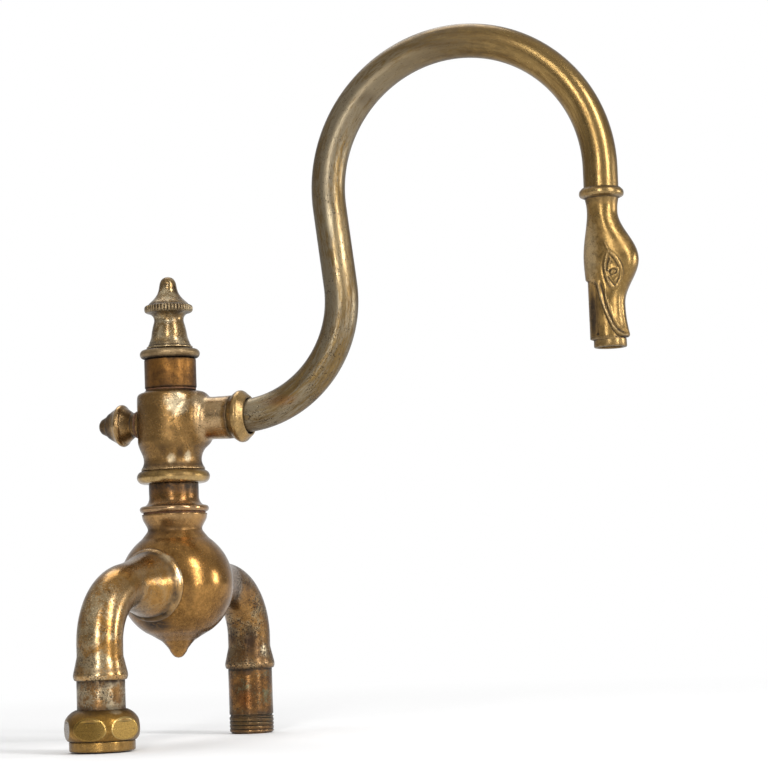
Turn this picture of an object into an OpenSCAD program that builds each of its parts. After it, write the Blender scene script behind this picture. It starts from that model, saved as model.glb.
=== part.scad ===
// Swan neck tap: two legs feed a bulb, and a stop valve stands on it in a body that turns with the spout.
// Z = 0 is the end face of the left tail, and the swivel axis is the Z axis. The left leg lies towards -Y.

/* [Inlets] */
// Distance between the centres of the two inlets
inlet_spacing = 130; // [118:1:160]
// Outside radius of a tail
tail_r = 10.4; // [9.8:0.05:10.45]
// Radius over the thread at the end of the right tail
tail_thread_r = 10.48; // [10.46:0.01:10.7]
// Length of that thread
tail_thread_l = 8; // [6:0.5:14]
// Bore radius of both tails
tail_bore_r = 8; // [6.5:0.1:8.6]
// Length of the left tail below its leg
left_tail_l = 18.1; // [15:0.1:30]
// Length of the right tail below its leg
right_tail_l = 29.8; // [24:0.1:45]
// Depth of a tail in its leg
tail_socket_l = 4; // [3:0.1:4.5]

/* [Union nut] */
// Thickness of the collar that keeps the nut on the left tail
collar_h = 3; // [2:0.1:4]
// Outside radius of the collar
collar_r = 11.8; // [11.5:0.05:11.9]
// Thickness of the fibre washer under the collar
union_washer_h = 2; // [1:0.1:3]
// Radius inside the nut's thread
nut_thread_r = 12.06; // [11.98:0.01:12.4]
// Free length of the nut's thread below the washer
nut_thread_l = 9.1; // [7:0.1:14]
// Radius over the nut's rounded corners
nut_r = 16.7; // [16.2:0.05:17.6]
// Width of the nut across its flats
nut_flats = 30.4; // [29.6:0.1:31]
// Height of the nut's plain lower rim
nut_rim_h = 4.4; // [3.5:0.1:6]
// Outside radius of that rim
nut_rim_r = 14.2; // [13.9:0.05:14.9]
// Turn of the nut at rest
nut_turn = 13; // [0:1:59]
// Thickness of the lip that bears on the collar
nut_lip_h = 4; // [2.5:0.1:5]

/* [Legs] */
// Height of a leg from its lower end to the axis of its horizontal limb
leg_drop = 40.9; // [39:0.1:60]
// Outside radius of a leg
leg_r = 10; // [9.4:0.05:10.3]
// Bore radius of a leg
leg_bore_r = 7.2; // [6:0.1:7.6]
// Bend radius of a leg's centre line
leg_bend_r = 25; // [17:0.5:26]
// Outside radius of a leg where it leaves the bulb
leg_root_r = 11.7; // [10.8:0.1:12.6]
// Outside radius of the ring against the bulb
leg_ring_r = 16.4; // [15:0.1:17.5]
// Half thickness of that ring's rounded edge
leg_ring_round = 2.4; // [1.6:0.1:2.6]
// Radius of the bead at a leg's lower end
leg_bead_r = 12; // [11.9:0.05:12.6]
// Height of that bead's widest place above the leg's lower end
leg_bead_rise = 2.7; // [2:0.1:3]

/* [Bulb] */
// Outside radius of the bulb
bulb_r = 25.8; // [24.5:0.1:28]
// Wall of the bulb
bulb_wall = 3; // [2:0.1:4]
// Height of the bulb's neck above its centre
bulb_neck_h = 32.2; // [30.8:0.1:36]
// Radius of the neck's narrowest place
bulb_waist_r = 12.3; // [11.6:0.1:13]
// Radius of the neck's upper rim
bulb_rim_r = 14.9; // [14:0.1:15.5]
// Depth of the pendant's tip below the bulb's centre
pendant_drop = 33; // [31:0.1:38]
// Radius of the pendant's tip
pendant_tip_r = 2.8; // [2:0.1:3.4]

/* [Post] */
// Thickness of the washer under the post
post_washer_h = 0.6; // [0.4:0.1:1.5]
// Height of the post from its foot to its shoulder
post_h = 13.1; // [11.5:0.1:18]
// Radius of the post's neck
post_neck_r = 11.3; // [10.6:0.1:12]
// Radius of the post's foot ring
post_foot_r = 15.7; // [15.2:0.1:17]
// Radius of the spigot on which the body turns
spigot_r = 9; // [8.7:0.05:9.3]
// Length of the spigot above the shoulder
spigot_l = 15.7; // [15.2:0.1:17]
// Radius of the water way in the post
post_bore_r = 6; // [5:0.1:6.2]
// Radius of the screwed shank in the bulb's neck
shank_r = 9; // [8.4:0.1:9.4]
// Length of that shank
shank_l = 10; // [7:0.5:13]

/* [Swivel body] */
// Turn of the spout from straight ahead, at rest
spout_swing = 8; // [-90:1:90]
// Height of the arm's axis above the post's shoulder
arm_rise = 28.7; // [28:0.1:32]
// Radius of the body's barrel
barrel_r = 15.5; // [14.8:0.1:17]
// Half height of the barrel
barrel_half_h = 13; // [12.4:0.1:14]
// Radius of the body's neck above the swivel nut
body_neck_r = 13; // [12.9:0.1:13.8]
// Radius of the valve chamber
chamber_r = 10.6; // [10.4:0.05:11]
// Height of the body's top above the arm's axis
body_top_rise = 13.9; // [13.6:0.1:16]
// Radius of the body's top rim
body_top_r = 11.9; // [11.6:0.05:12.4]
// Radius of the drum that carries the arm
drum_r = 13.2; // [12.4:0.1:13.8]
// Distance of the drum's end face from the swivel axis
drum_reach = 17; // [16.4:0.1:19]
// Radius of the arm
arm_r = 9.7; // [9.65:0.05:10.4]
// Distance of the arm's end from the swivel axis
arm_reach = 30.2; // [28:0.1:36]
// Radius over the bead of the swivel nut
swivel_nut_r = 16.6; // [16:0.1:17.6]
// Height of the swivel nut
swivel_nut_h = 5.9; // [5.6:0.1:7]
// Height of the packing ring round the spigot
swivel_packing_h = 5.1; // [4:0.1:5.6]

/* [Side plug] */
// Radius of the plug's thread
plug_r = 4.6; // [4:0.1:5]
// How far the plug sits below the arm's axis
plug_drop = 1; // [0:0.1:3]
// Radius of the plug's round knob
plug_knob_r = 9.7; // [8.5:0.1:10.5]
// Distance of the plug's tip from the swivel axis
plug_reach = 35.4; // [34:0.1:40]

/* [Bonnet] */
// Outside radius of the bonnet
bonnet_r = 11.8; // [11.5:0.05:12.4]
// Height of the bonnet above the body
bonnet_h = 13.5; // [13:0.1:18]
// Thickness of the bonnet's washer
bonnet_washer_h = 0.6; // [0.4:0.1:1.2]
// Radius over the gland nut's ring
gland_r = 13.7; // [13:0.1:14.6]
// Height of the gland nut's ring
gland_h = 4.2; // [4:0.1:6]
// Gap that shows between the gland nut and the bonnet
gland_show = 0.4; // [0.2:0.1:1]
// Radius of the spindle's stem
stem_r = 5; // [4.6:0.05:5.4]
// Radius of the spindle's screw
screw_r = 7; // [6.4:0.1:7.4]

/* [Valve] */
// Rise of the valve for one turn of the knob
valve_lead = 2.5; // [1.5:0.1:2.7]
// Turns of the knob from shut to open
valve_turns = 1.5; // [1:0.25:1.5]
// Radius of the seat's opening
seat_r = 5; // [4.4:0.1:5.2]
// Thickness of the valve's washer
valve_washer_h = 2.2; // [1.6:0.1:2.6]
// Radius of the valve's disc
valve_disc_r = 7.4; // [7:0.1:8]

/* [Knob] */
// Gap under the knob when the valve is shut
knob_gap = 0.4; // [0.3:0.1:1.5]
// Height of the knob
knob_h = 33.1; // [31:0.1:38]
// Radius of the knob's bell at the bottom
knob_bell_r = 10.5; // [9.8:0.1:11.5]
// Radius of the knob's waist
knob_waist_r = 6.8; // [6.5:0.1:7.5]
// Radius over the knob's milled rim
knob_rim_r = 11; // [10.4:0.1:12]
// Radius of the dome at the top
knob_dome_r = 3.7; // [3.4:0.1:4.4]

/* [Spout] */
// Radius over the ferrule's bead
ferrule_r = 11.8; // [11.2:0.1:12.6]
// Length of the ferrule's bead
ferrule_l = 8.1; // [7:0.1:10]
// Outside radius of the swan neck's tube
tube_r = 7.55; // [7.2:0.05:7.6]
// Wall of that tube
tube_wall = 1.2; // [0.9:0.1:1.6]
// Distance at which the tube leaves its straight start
bend_start = 33.5; // [32:0.5:36]
// Radius of the lower bend
lower_bend_r = 50.5; // [46:0.5:52]
// Distance of the upper bow's near side from the swivel axis
bow_back = 79.5; // [76:0.1:88]
// Distance of the outlet from the swivel axis
reach = 204.7; // [185:0.1:230]
// Height of the tube's highest centre point above the arm
crown_rise = 160.6; // [150:0.1:185]

/* [Swan head] */
// Height of the head's upper bead below the end of the upper bend
head_drop = 9; // [6:0.5:30]
// Radius over that bead
head_bead_r = 9.6; // [9.2:0.1:10.4]
// Height of that bead
head_bead_h = 4.8; // [4.6:0.1:6.5]
// Radius of the throat under the bead
throat_r = 6.6; // [6.2:0.05:7]
// Radius of the nozzle
nozzle_r = 7.6; // [7.2:0.05:7.8]
// Outside radius of the ring at the nozzle's end
nozzle_ring_r = 7.1; // [6.9:0.05:7.4]
// How far that ring stands forward of the outlet's axis
nozzle_forward = 1; // [0:0.1:1]
// Bore radius of the nozzle
nozzle_bore_r = 5.4; // [4.6:0.1:5.6]
// Depth of that bore
nozzle_bore_l = 12; // [8:0.5:16]
// Length of the head below its bead
head_l = 64.7; // [60:0.1:72]
// Half depth of the skull, beak side to throat side
skull_depth = 12; // [10.5:0.1:13.5]
// Half width of the skull, eye to eye
skull_width = 8.8; // [8:0.1:10]
// How far the skull stands forward of the outlet's axis
skull_forward = 3; // [1.5:0.1:3.5]
// How far the tip of the beak stands out from the axis
beak_reach = 10; // [9:0.1:11]

/* [Hidden] */
$fn = 96;

// Clearances
braze_gap = 0.05;
mouth_gap = 0.6;
thread_gap = 0.05;
run_gap = 0.05;
loose_gap = 0.3;
lift_gap = 0.1;
// Extra length of a cut past a face
past = 1;
// Height of the bulb's flared throat, and of the side plug's blunt nose
bulb_throat_h = 7.7;
plug_nose_l = 11;
// How the union nut's belly is rounded above and below its widest place
nut_top_round = 8.8;
nut_low_round = 6.6;
// Rings that close a pipe's joins in the drawing
seam_proud = 0.04;
seam_half = 0.2;
// Small edge round, and the depth of a thread's run-out groove
edge = 0.6;
groove = 0.5;

// Heights from the inlets up to the post
leg_z = left_tail_l + leg_drop;
pendant_root_r = bulb_r * 0.56;
pendant_root_z = leg_z - bulb_r * 0.826;
leg_y = inlet_spacing / 2;
bulb_top_z = leg_z + bulb_neck_h;
post_z = bulb_top_z + post_washer_h;
shoulder_z = post_z + post_h;

// Heights in the swivel body
swivel_lip_h = 2;
body_z = shoulder_z + swivel_lip_h + loose_gap;
packing_top_z = shoulder_z + swivel_lip_h + swivel_packing_h;
spigot_top_z = shoulder_z + spigot_l;
chamber_z = spigot_top_z - lift_gap;
arm_z = shoulder_z + arm_rise;
body_top_z = arm_z + body_top_rise;
body_screw_r = body_neck_r - edge;

// Heights in the bonnet and the knob
bonnet_z = body_top_z + bonnet_washer_h;
bonnet_top_z = bonnet_z + bonnet_h;
bonnet_screw_l = 7;
gland_z = bonnet_top_z + gland_show;
gland_top_z = gland_z + gland_h;
knob_z = gland_top_z + knob_gap;
lift = valve_lead * valve_turns;

// Heights in the valve
seat_flange_h = 2.4;
seat_lip_h = 1;
seat_z = spigot_top_z + seat_flange_h + seat_lip_h;
disc_z = seat_z + valve_washer_h;
disc_h = 2;
spindle_z = disc_z + disc_h;
screw_top_z = bonnet_z - 3;
screw_bore_top_z = screw_top_z + lift + past;
box_z = screw_bore_top_z + 2.5;
gland_press_z = box_z + 4.5;

// Stem of the jumper and its stud
jumper_stem_r = 2.4;
jumper_stem_l = 8;
stud_r = 1.5;
stud_nut_h = 2;

// Knob socket and the grub screw that holds the knob on the spindle
socket_square = 6.4;
socket_l = 11;
knob_screw_r = 1.5;
knob_rim_at = 0.553;
knob_rim_half = 1.9;
cone_round = 8.4;
knob_screw_rise = 5;
knob_screw_l = 4.6;

// Route of the swan neck, in the spout's plane: u is the distance from the swivel axis, z is the height
low_u = bend_start;
low_z = arm_z + lower_bend_r;
upper_bend_r = (reach - bow_back) / 2;
high_u = reach - upper_bend_r;
high_z = arm_z + crown_rise - upper_bend_r;
centres_gap = norm([high_u - low_u, high_z - low_z]);
straight_l = sqrt(pow(centres_gap, 2) - pow(lower_bend_r + upper_bend_r, 2));
rise_angle = atan2(high_z - low_z, high_u - low_u) + atan2(lower_bend_r + upper_bend_r, straight_l);
straight_u = low_u + lower_bend_r * sin(rise_angle);
straight_z = low_z - lower_bend_r * cos(rise_angle);
tube_in_r = tube_r - tube_wall;
tube_start = arm_reach - 6;
ferrule_screw_r = (arm_r + tube_r) / 2;

// Heights in the swan head
head_bead_z = high_z - head_drop - head_bead_h;
tube_end_z = head_bead_z + past;
head_z = head_bead_z - head_l;
skull_z = head_bead_z - 0.415 * head_l;
throat_z = head_bead_z - 0.09 * head_l;
beak_root_z = head_z + 0.28 * head_l;
beak_tip_z = head_z + 0.065 * head_l;
beak_relief = 0.6;
beak_corner_x = 2.7;
beak_corner_z = head_z + 0.135 * head_l;
beak_edge_tilt = 67;
beak_lip_tilt = 33;
nozzle_ring_h = 3.4;
throat_bore_r = throat_r - 1.8;

// Shapes in a turned piece's half section: x is the radius, y is the height
module disc2(r, z1, z2) {
    translate([0, z1]) square([r, z2 - z1]);
}
module taper2(r1, z1, r2, z2) {
    polygon([[0, z1], [r1, z1], [r2, z2], [0, z2]]);
}
module ring2(r, z, half) {
    translate([r - half, z]) circle(r = half);
    disc2(r - half, z - half, z + half);
}
module cove2(r, z, round) {
    translate([r + round, z]) circle(r = round);
}
module dome2(r, z) {
    intersection() {
        translate([0, z]) circle(r = r);
        disc2(r, z, z + r);
    }
}
module spin() {
    rotate_extrude() children();
}
// Turns a piece that is drawn along +Z so that it lies along the spout, or along the plug
module along_arm() {
    translate([0, 0, arm_z]) rotate([0, 90, 0]) children();
}
module along_plug() {
    translate([0, 0, arm_z - plug_drop]) rotate([0, -90, 0]) children();
}
module swung() {
    rotate([0, 0, spout_swing]) children();
}

// Fixed base

module bulb_outline2() {
    neck_z = leg_z + bulb_neck_h;
    waist_z = neck_z - bulb_throat_h;
    difference() {
        union() {
            intersection() {
                translate([0, leg_z]) circle(r = bulb_r);
                disc2(bulb_r, leg_z - bulb_r, leg_z + bulb_r);
            }
            taper2(bulb_r * 0.6, leg_z + bulb_r * 0.795, bulb_waist_r, waist_z);
            disc2(bulb_waist_r, waist_z, neck_z - 3);
            taper2(bulb_waist_r, waist_z + 1.2, bulb_rim_r - 0.4, neck_z - 2.6);
            taper2(bulb_rim_r - 0.4, neck_z - 2.6, bulb_rim_r, neck_z);
            taper2(pendant_tip_r, leg_z - pendant_drop + pendant_tip_r, pendant_root_r, pendant_root_z);
            intersection() {
                translate([0, leg_z - pendant_drop + pendant_tip_r]) circle(r = pendant_tip_r);
                disc2(pendant_tip_r, leg_z - pendant_drop, leg_z - pendant_drop + pendant_tip_r);
            }
        }
        pendant_cove2();
    }
}
// The hollow of the ogee between the bulb and its pendant: a circle through both its ends
module pendant_cove2() {
    low = [pendant_tip_r, leg_z - pendant_drop + pendant_tip_r];
    high = [pendant_root_r, pendant_root_z];
    chord = high - low;
    round = 2.1 * norm(chord);
    out = [chord[1], -chord[0]] / norm(chord);
    centre = (low + high) / 2 + out * sqrt(pow(round, 2) - pow(norm(chord) / 2, 2));
    translate(centre) circle(r = round);
}
module mixing_bulb() {
    hollow_r = bulb_r - bulb_wall;
    color("#9a7440") difference() {
        spin() difference() {
            bulb_outline2();
            intersection() {
                translate([0, leg_z]) circle(r = hollow_r);
                disc2(hollow_r, leg_z - hollow_r, leg_z + hollow_r);
            }
            disc2(shank_r + thread_gap, leg_z, bulb_top_z + past);
        }
        translate([0, 0, leg_z]) rotate([90, 0, 0])
            cylinder(r = leg_r + braze_gap, h = 2 * (bulb_r + past), center = true);
    }
}

// Where two stretches of a pipe's route meet, a hair-thin ring round its wall closes them into one
module seam(out_r, in_r) {
    spin() translate([in_r - seam_proud, -seam_half]) square([out_r - in_r + 2 * seam_proud, 2 * seam_half]);
}
// A leg is drawn towards +Y and mirrored for the other side
module leg() {
    bend_y = leg_y - leg_bend_r;
    foot_z = left_tail_l;
    bend_z = leg_z - leg_bend_r;
    spigot_y = bulb_r - bulb_wall - 3;
    ring_y = sqrt(pow(bulb_r, 2) - pow(leg_ring_r, 2)) + leg_ring_round * 0.7;
    translate([0, 0, leg_z]) rotate([-90, 0, 0]) {
        difference() {
            union() {
                difference() {
                    spin() {
                        taper2(leg_root_r, spigot_y, leg_r, bend_y - seam_half / 2);
                        ring2(leg_ring_r, ring_y, leg_ring_round);
                    }
                    sphere(r = bulb_r + braze_gap);
                }
                translate([0, 0, spigot_y]) cylinder(r = leg_r, h = bulb_wall + 5);
            }
            cylinder(r = leg_bore_r, h = bend_y);
        }
        translate([0, 0, bend_y]) seam(leg_r, leg_bore_r);
    }
    translate([0, bend_y, bend_z]) rotate([90, 0, 90]) rotate_extrude(angle = 90) translate([leg_bend_r, 0])
        difference() {
            circle(r = leg_r);
            circle(r = leg_bore_r);
        }
    translate([0, leg_y, bend_z]) seam(leg_r, leg_bore_r);
    translate([0, leg_y, 0]) spin() difference() {
        union() {
            disc2(leg_r, foot_z, bend_z - seam_half / 2);
            ring2(leg_bead_r, foot_z + leg_bead_rise, 2);
            taper2(leg_bead_r - 1, foot_z, leg_bead_r - 0.3, foot_z + leg_bead_rise - 1.2);
            taper2(leg_bead_r - 0.35, foot_z + leg_bead_rise + 1.2, leg_r, foot_z + 4 * leg_bead_rise);
        }
        disc2(leg_bore_r, foot_z - past, bend_z + past);
        disc2(tail_r + braze_gap, foot_z - past, foot_z + tail_socket_l);
    }
}
module left_leg() {
    color("#a37b45") mirror([0, 1, 0]) leg();
}
module right_leg() {
    color("#8c6a3e") leg();
}

module left_tail() {
    color("#a08a62") translate([0, -leg_y, 0]) spin() difference() {
        disc2(tail_r, 0, left_tail_l + tail_socket_l);
        disc2(tail_bore_r, -past, left_tail_l + tail_socket_l + past);
    }
}
module right_tail() {
    end_z = left_tail_l - right_tail_l;
    color("#5d4630") translate([0, leg_y, 0]) spin() difference() {
        union() {
            disc2(tail_r - groove, end_z, left_tail_l + tail_socket_l);
            disc2(tail_r, end_z + tail_thread_l + 2 * groove, left_tail_l + tail_socket_l);
            disc2(tail_thread_r, end_z, end_z + tail_thread_l);
        }
        disc2(tail_bore_r, end_z - past, left_tail_l + tail_socket_l + past);
    }
}
module left_tail_collar() {
    color("#8a6a3a") translate([0, -leg_y, 0]) spin() difference() {
        disc2(collar_r, 0, collar_h);
        disc2(tail_r + braze_gap, -past, collar_h + past);
    }
}
module union_washer() {
    color("#6e3b26") translate([0, -leg_y, 0]) spin() difference() {
        disc2(collar_r, -union_washer_h, 0);
        disc2(tail_bore_r, -union_washer_h - past, past);
    }
}
module nut_belly2() {
    top_z = collar_h + nut_lip_h;
    hex_z = nut_rim_h - union_washer_h - nut_thread_l;
    belly_z = top_z - nut_top_round;
    intersection() {
        union() {
            translate([nut_r - nut_top_round, belly_z]) circle(r = nut_top_round);
            disc2(nut_r - nut_top_round, belly_z, top_z);
        }
        disc2(nut_r, belly_z, top_z);
    }
    intersection() {
        union() {
            translate([nut_r - nut_low_round, belly_z]) circle(r = nut_low_round);
            disc2(nut_r - nut_low_round, hex_z, belly_z);
        }
        disc2(nut_r, hex_z, belly_z + seam_half);
    }
}
module union_nut() {
    low_z = -union_washer_h - nut_thread_l;
    top_z = collar_h + nut_lip_h;
    hex_z = low_z + nut_rim_h;
    color("#8d8146") translate([0, -leg_y, 0]) difference() {
        union() {
            intersection() {
                spin() nut_belly2();
                translate([0, 0, hex_z]) rotate([0, 0, nut_turn])
                    cylinder(r = nut_flats / sqrt(3), h = top_z - hex_z, $fn = 6);
            }
            spin() {
                taper2(nut_rim_r - edge, low_z, nut_rim_r, low_z + edge);
                disc2(nut_rim_r, low_z + edge, hex_z + past);
            }
        }
        spin() {
            disc2(nut_thread_r, low_z - past, -union_washer_h);
            disc2(nut_thread_r + 0.5, -union_washer_h, collar_h);
            disc2(tail_r + loose_gap, collar_h - past, top_z + past);
        }
    }
}

module swivel_post() {
    foot_half = 1.5;
    cove = (post_foot_r - post_neck_r) + 0.2;
    color("#6b4a2c") spin() difference() {
        union() {
            disc2(shank_r, post_z - shank_l - post_washer_h, post_z);
            ring2(post_foot_r, post_z + foot_half, foot_half);
            disc2(post_foot_r - 0.9, post_z, post_z + foot_half);
            difference() {
                disc2(post_foot_r - 0.7, post_z, post_z + cove + foot_half);
                cove2(post_neck_r, post_z + cove + foot_half + 0.7, cove);
            }
            disc2(post_neck_r, post_z, shoulder_z);
            disc2(spigot_r, shoulder_z, spigot_top_z);
        }
        disc2(post_bore_r, post_z - shank_l - post_washer_h - past, spigot_top_z + past);
        disc2(post_bore_r + 1 + thread_gap, spigot_top_z - 6, spigot_top_z + past);
    }
}
module post_washer() {
    color("#6e3b26") spin() difference() {
        disc2(bulb_rim_r - 0.8, bulb_top_z, post_z);
        disc2(shank_r + loose_gap, bulb_top_z - past, post_z + past);
    }
}
// Bush screwed into the spigot: its flange keeps the body on the post, and its lip is the valve's seat
module valve_seat() {
    color("#b08d4e") spin() difference() {
        union() {
            disc2(post_bore_r + 1, spigot_top_z - 6, spigot_top_z);
            disc2(chamber_r - 2 * loose_gap, spigot_top_z, spigot_top_z + seat_flange_h);
            taper2(seat_r + 1.9, spigot_top_z + seat_flange_h, seat_r + 0.9, seat_z);
        }
        disc2(seat_r, spigot_top_z - 6 - past, seat_z + past);
    }
}

// Pieces that turn with the spout

module swivel_body() {
    low_z = arm_z - barrel_half_h;
    high_z = arm_z + barrel_half_h;
    round = 2.4;
    neck_round = (low_z - shoulder_z - swivel_nut_h) / 2;
    boss_reach = barrel_r + 0.4;
    color("#87663a") swung() difference() {
        union() {
            spin() {
                ring2(barrel_r, low_z + round, round);
                ring2(barrel_r, high_z - round, round);
                disc2(barrel_r, low_z + round, high_z - round);
                difference() {
                    disc2(barrel_r - 1, shoulder_z + swivel_nut_h, low_z + 1);
                    cove2(body_neck_r, (shoulder_z + swivel_nut_h + low_z) / 2, neck_round + 1.2);
                }
                disc2(body_screw_r, body_z, low_z);
                taper2(body_top_r + 1.2, high_z - 1, body_top_r, body_top_z - edge / 2);
                taper2(body_top_r, body_top_z - edge / 2, body_top_r - edge / 2, body_top_z);
            }
            along_arm() spin() {
                disc2(drum_r, 0, drum_reach - 1.2);
                ring2(drum_r, drum_reach - 1.2, 1.2);
                disc2(arm_r, 0, arm_reach);
            }
            along_plug() cylinder(r = plug_r + 2, h = boss_reach);
        }
        spin() {
            disc2(chamber_r, chamber_z, body_top_z + past);
            disc2(spigot_r + run_gap, body_z - past, chamber_z + past);
            disc2(spigot_r + 2.3, body_z - past, packing_top_z);
        }
        along_arm() {
            cylinder(r = tube_in_r, h = arm_reach);
            translate([0, 0, tube_start - past]) cylinder(r = ferrule_screw_r + thread_gap, h = arm_reach);
        }
        along_plug() cylinder(r = plug_r + thread_gap, h = boss_reach + past);
    }
}
module swivel_nut() {
    top_z = shoulder_z + swivel_nut_h;
    half = swivel_nut_h / 2;
    color("#bd9350") swung() spin() difference() {
        union() {
            ring2(swivel_nut_r, shoulder_z + half, half);
            disc2(swivel_nut_r - half, shoulder_z, top_z);
        }
        disc2(spigot_r + run_gap, shoulder_z - past, top_z + past);
        disc2(body_screw_r + thread_gap, shoulder_z + swivel_lip_h, top_z + past);
    }
}
module swivel_packing() {
    color("#3f3a32") swung() spin() difference() {
        disc2(spigot_r + 2.2, shoulder_z + swivel_lip_h, packing_top_z);
        disc2(spigot_r + run_gap, shoulder_z, packing_top_z + past);
    }
}
// Drawn outwards from the swivel axis
module side_plug() {
    seat_u = barrel_r + 0.4 + 0.8;
    knob_u = plug_reach - plug_nose_l;
    tip_u = plug_reach - 4.4;
    color("#8a6437") swung() along_plug() spin() {
        disc2(plug_r, chamber_r + 0.6, seat_u);
        taper2(plug_r + 1.5, seat_u, plug_r + 0.9, seat_u + 2);
        taper2(plug_r + 0.9, seat_u + 2, plug_knob_r - 0.8, knob_u - 0.9);
        ring2(plug_knob_r, knob_u, 1.6);
        taper2(plug_knob_r - 0.7, knob_u + 1.1, plug_r + 1, tip_u);
        taper2(plug_r + 0.5, tip_u, plug_r - 1.2, plug_reach - 1);
        taper2(plug_r - 1.2, plug_reach - 1, plug_r - 2.4, plug_reach);
    }
}
module side_plug_washer() {
    seat_u = barrel_r + 0.4;
    color("#6e3b26") swung() along_plug() spin() difference() {
        disc2(plug_r + 1.7, seat_u, seat_u + 0.8);
        disc2(plug_r + loose_gap, seat_u - past, seat_u + 0.8 + past);
    }
}
module bonnet() {
    color("#93602f") swung() spin() difference() {
        union() {
            disc2(bonnet_r, bonnet_z + edge, bonnet_top_z - edge / 2);
            taper2(bonnet_r - edge, bonnet_z, bonnet_r, bonnet_z + edge);
            taper2(bonnet_r, bonnet_top_z - edge / 2, bonnet_r - edge / 2, bonnet_top_z);
            disc2(chamber_r - thread_gap, bonnet_z - bonnet_screw_l, bonnet_z + 1);
        }
        disc2(screw_r + run_gap, bonnet_z - bonnet_screw_l - past, screw_bore_top_z);
        disc2(stem_r + run_gap, screw_bore_top_z - past, bonnet_top_z + past);
        disc2(stem_r + 3, box_z, bonnet_top_z + past);
    }
}
module bonnet_washer() {
    color("#6e3b26") swung() spin() difference() {
        disc2(body_top_r - 0.4, body_top_z, bonnet_z);
        disc2(chamber_r + thread_gap, body_top_z - past, bonnet_z + past);
    }
}
module gland_nut() {
    half = gland_h / 2;
    color("#9c8356") swung() spin() difference() {
        union() {
            ring2(gland_r, gland_z + half, half);
            disc2(stem_r + 3 - thread_gap, gland_press_z, gland_z + half);
        }
        disc2(stem_r + run_gap, gland_press_z - past, gland_top_z + past);
    }
}
module gland_packing() {
    color("#3f3a32") swung() spin() difference() {
        disc2(stem_r + 3 - thread_gap, box_z, gland_press_z);
        disc2(stem_r + run_gap, box_z - past, gland_press_z + past);
    }
}

module spout_ferrule() {
    half = 2.4;
    peak = arm_reach + ferrule_l * 0.5;
    color("#b98e4c") swung() along_arm() spin() difference() {
        union() {
            ring2(ferrule_r, peak, half);
            taper2(arm_r - 0.2, arm_reach, ferrule_r - 0.5, peak - half * 0.6);
            taper2(ferrule_r - 0.5, peak + half * 0.6, tube_r + 1.5, arm_reach + ferrule_l);
            disc2(ferrule_screw_r, tube_start, peak);
        }
        disc2(tube_r + braze_gap, tube_start - past, bend_start + past);
        disc2(tube_r + mouth_gap, bend_start, arm_reach + ferrule_l + past);
    }
}
// The tube's own cross section
module tube2() {
    difference() {
        circle(r = tube_r);
        circle(r = tube_in_r);
    }
}
module swan_neck() {
    color("#9b7f52") swung() {
        translate([tube_start, 0, arm_z]) rotate([0, 90, 0])
            linear_extrude(height = bend_start - tube_start) tube2();
        translate([low_u, 0, low_z]) rotate([90, 0, 0]) rotate([0, 0, -90])
            rotate_extrude(angle = rise_angle) translate([lower_bend_r, 0]) tube2();
        translate([straight_u, 0, straight_z]) rotate([0, 90 - rise_angle, 0]) {
            seam(tube_r, tube_in_r);
            translate([0, 0, seam_half / 2]) linear_extrude(height = straight_l - seam_half) tube2();
            translate([0, 0, straight_l]) seam(tube_r, tube_in_r);
        }
        translate([high_u, 0, high_z]) rotate([90, 0, 0])
            rotate_extrude(angle = rise_angle + 90) translate([upper_bend_r, 0]) tube2();
        translate([reach, 0, high_z]) seam(tube_r, tube_in_r);
        translate([reach, 0, tube_end_z])
            linear_extrude(height = high_z - seam_half / 2 - tube_end_z) tube2();
    }
}

// How much of the skull's swell a height has: 0 at the throat and at the beak's root, 1 at the eyes
function swell(z) =
    z > skull_z ? (1 + cos(180 * min(1, (z - skull_z) / (throat_z - skull_z)))) / 2
                : (1 + cos(180 * min(1, (skull_z - z) / (skull_z - beak_root_z)))) / 2;
// How much of the beak's outward curl a height has
function curl(z) = pow(max(0, (beak_root_z - z) / (beak_root_z - beak_tip_z)), 2);
function core_r(z) =
    throat_r + (nozzle_r + beak_relief - throat_r)
        * min(1, max(0, (throat_z - z) / (throat_z - beak_root_z)));
// One point of the head's skin: the front bulges for the skull and again for the tip of the beak
function skin(z, a) =
    let (deep = core_r(z) + (skull_depth - core_r(z)) * swell(z),
         wide = core_r(z) + (skull_width - core_r(z)) * swell(z),
         front = (beak_reach - core_r(z)) * curl(z) * pow(max(0, cos(a)), 4))
    [skull_forward * swell(z) + (deep + front) * cos(a), wide * sin(a), z];
module head_skin() {
    rings = 30;
    sides = 40;
    top_z = head_bead_z + past;
    low_z = head_z + 0.02 * head_l;
    points = [for (i = [0 : rings], j = [0 : sides - 1])
        skin(top_z + (low_z - top_z) * i / rings, 360 * j / sides)];
    caps = [[for (j = [sides - 1 : -1 : 0]) j], [for (j = [0 : sides - 1]) rings * sides + j]];
    walls = [for (i = [0 : rings - 1], j = [0 : sides - 1])
        let (k = (j + 1) % sides)
        each [[i * sides + j, (i + 1) * sides + k, (i + 1) * sides + j],
              [i * sides + j, i * sides + k, (i + 1) * sides + k]]];
    polyhedron(points = points, faces = concat(caps, walls));
}
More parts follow.
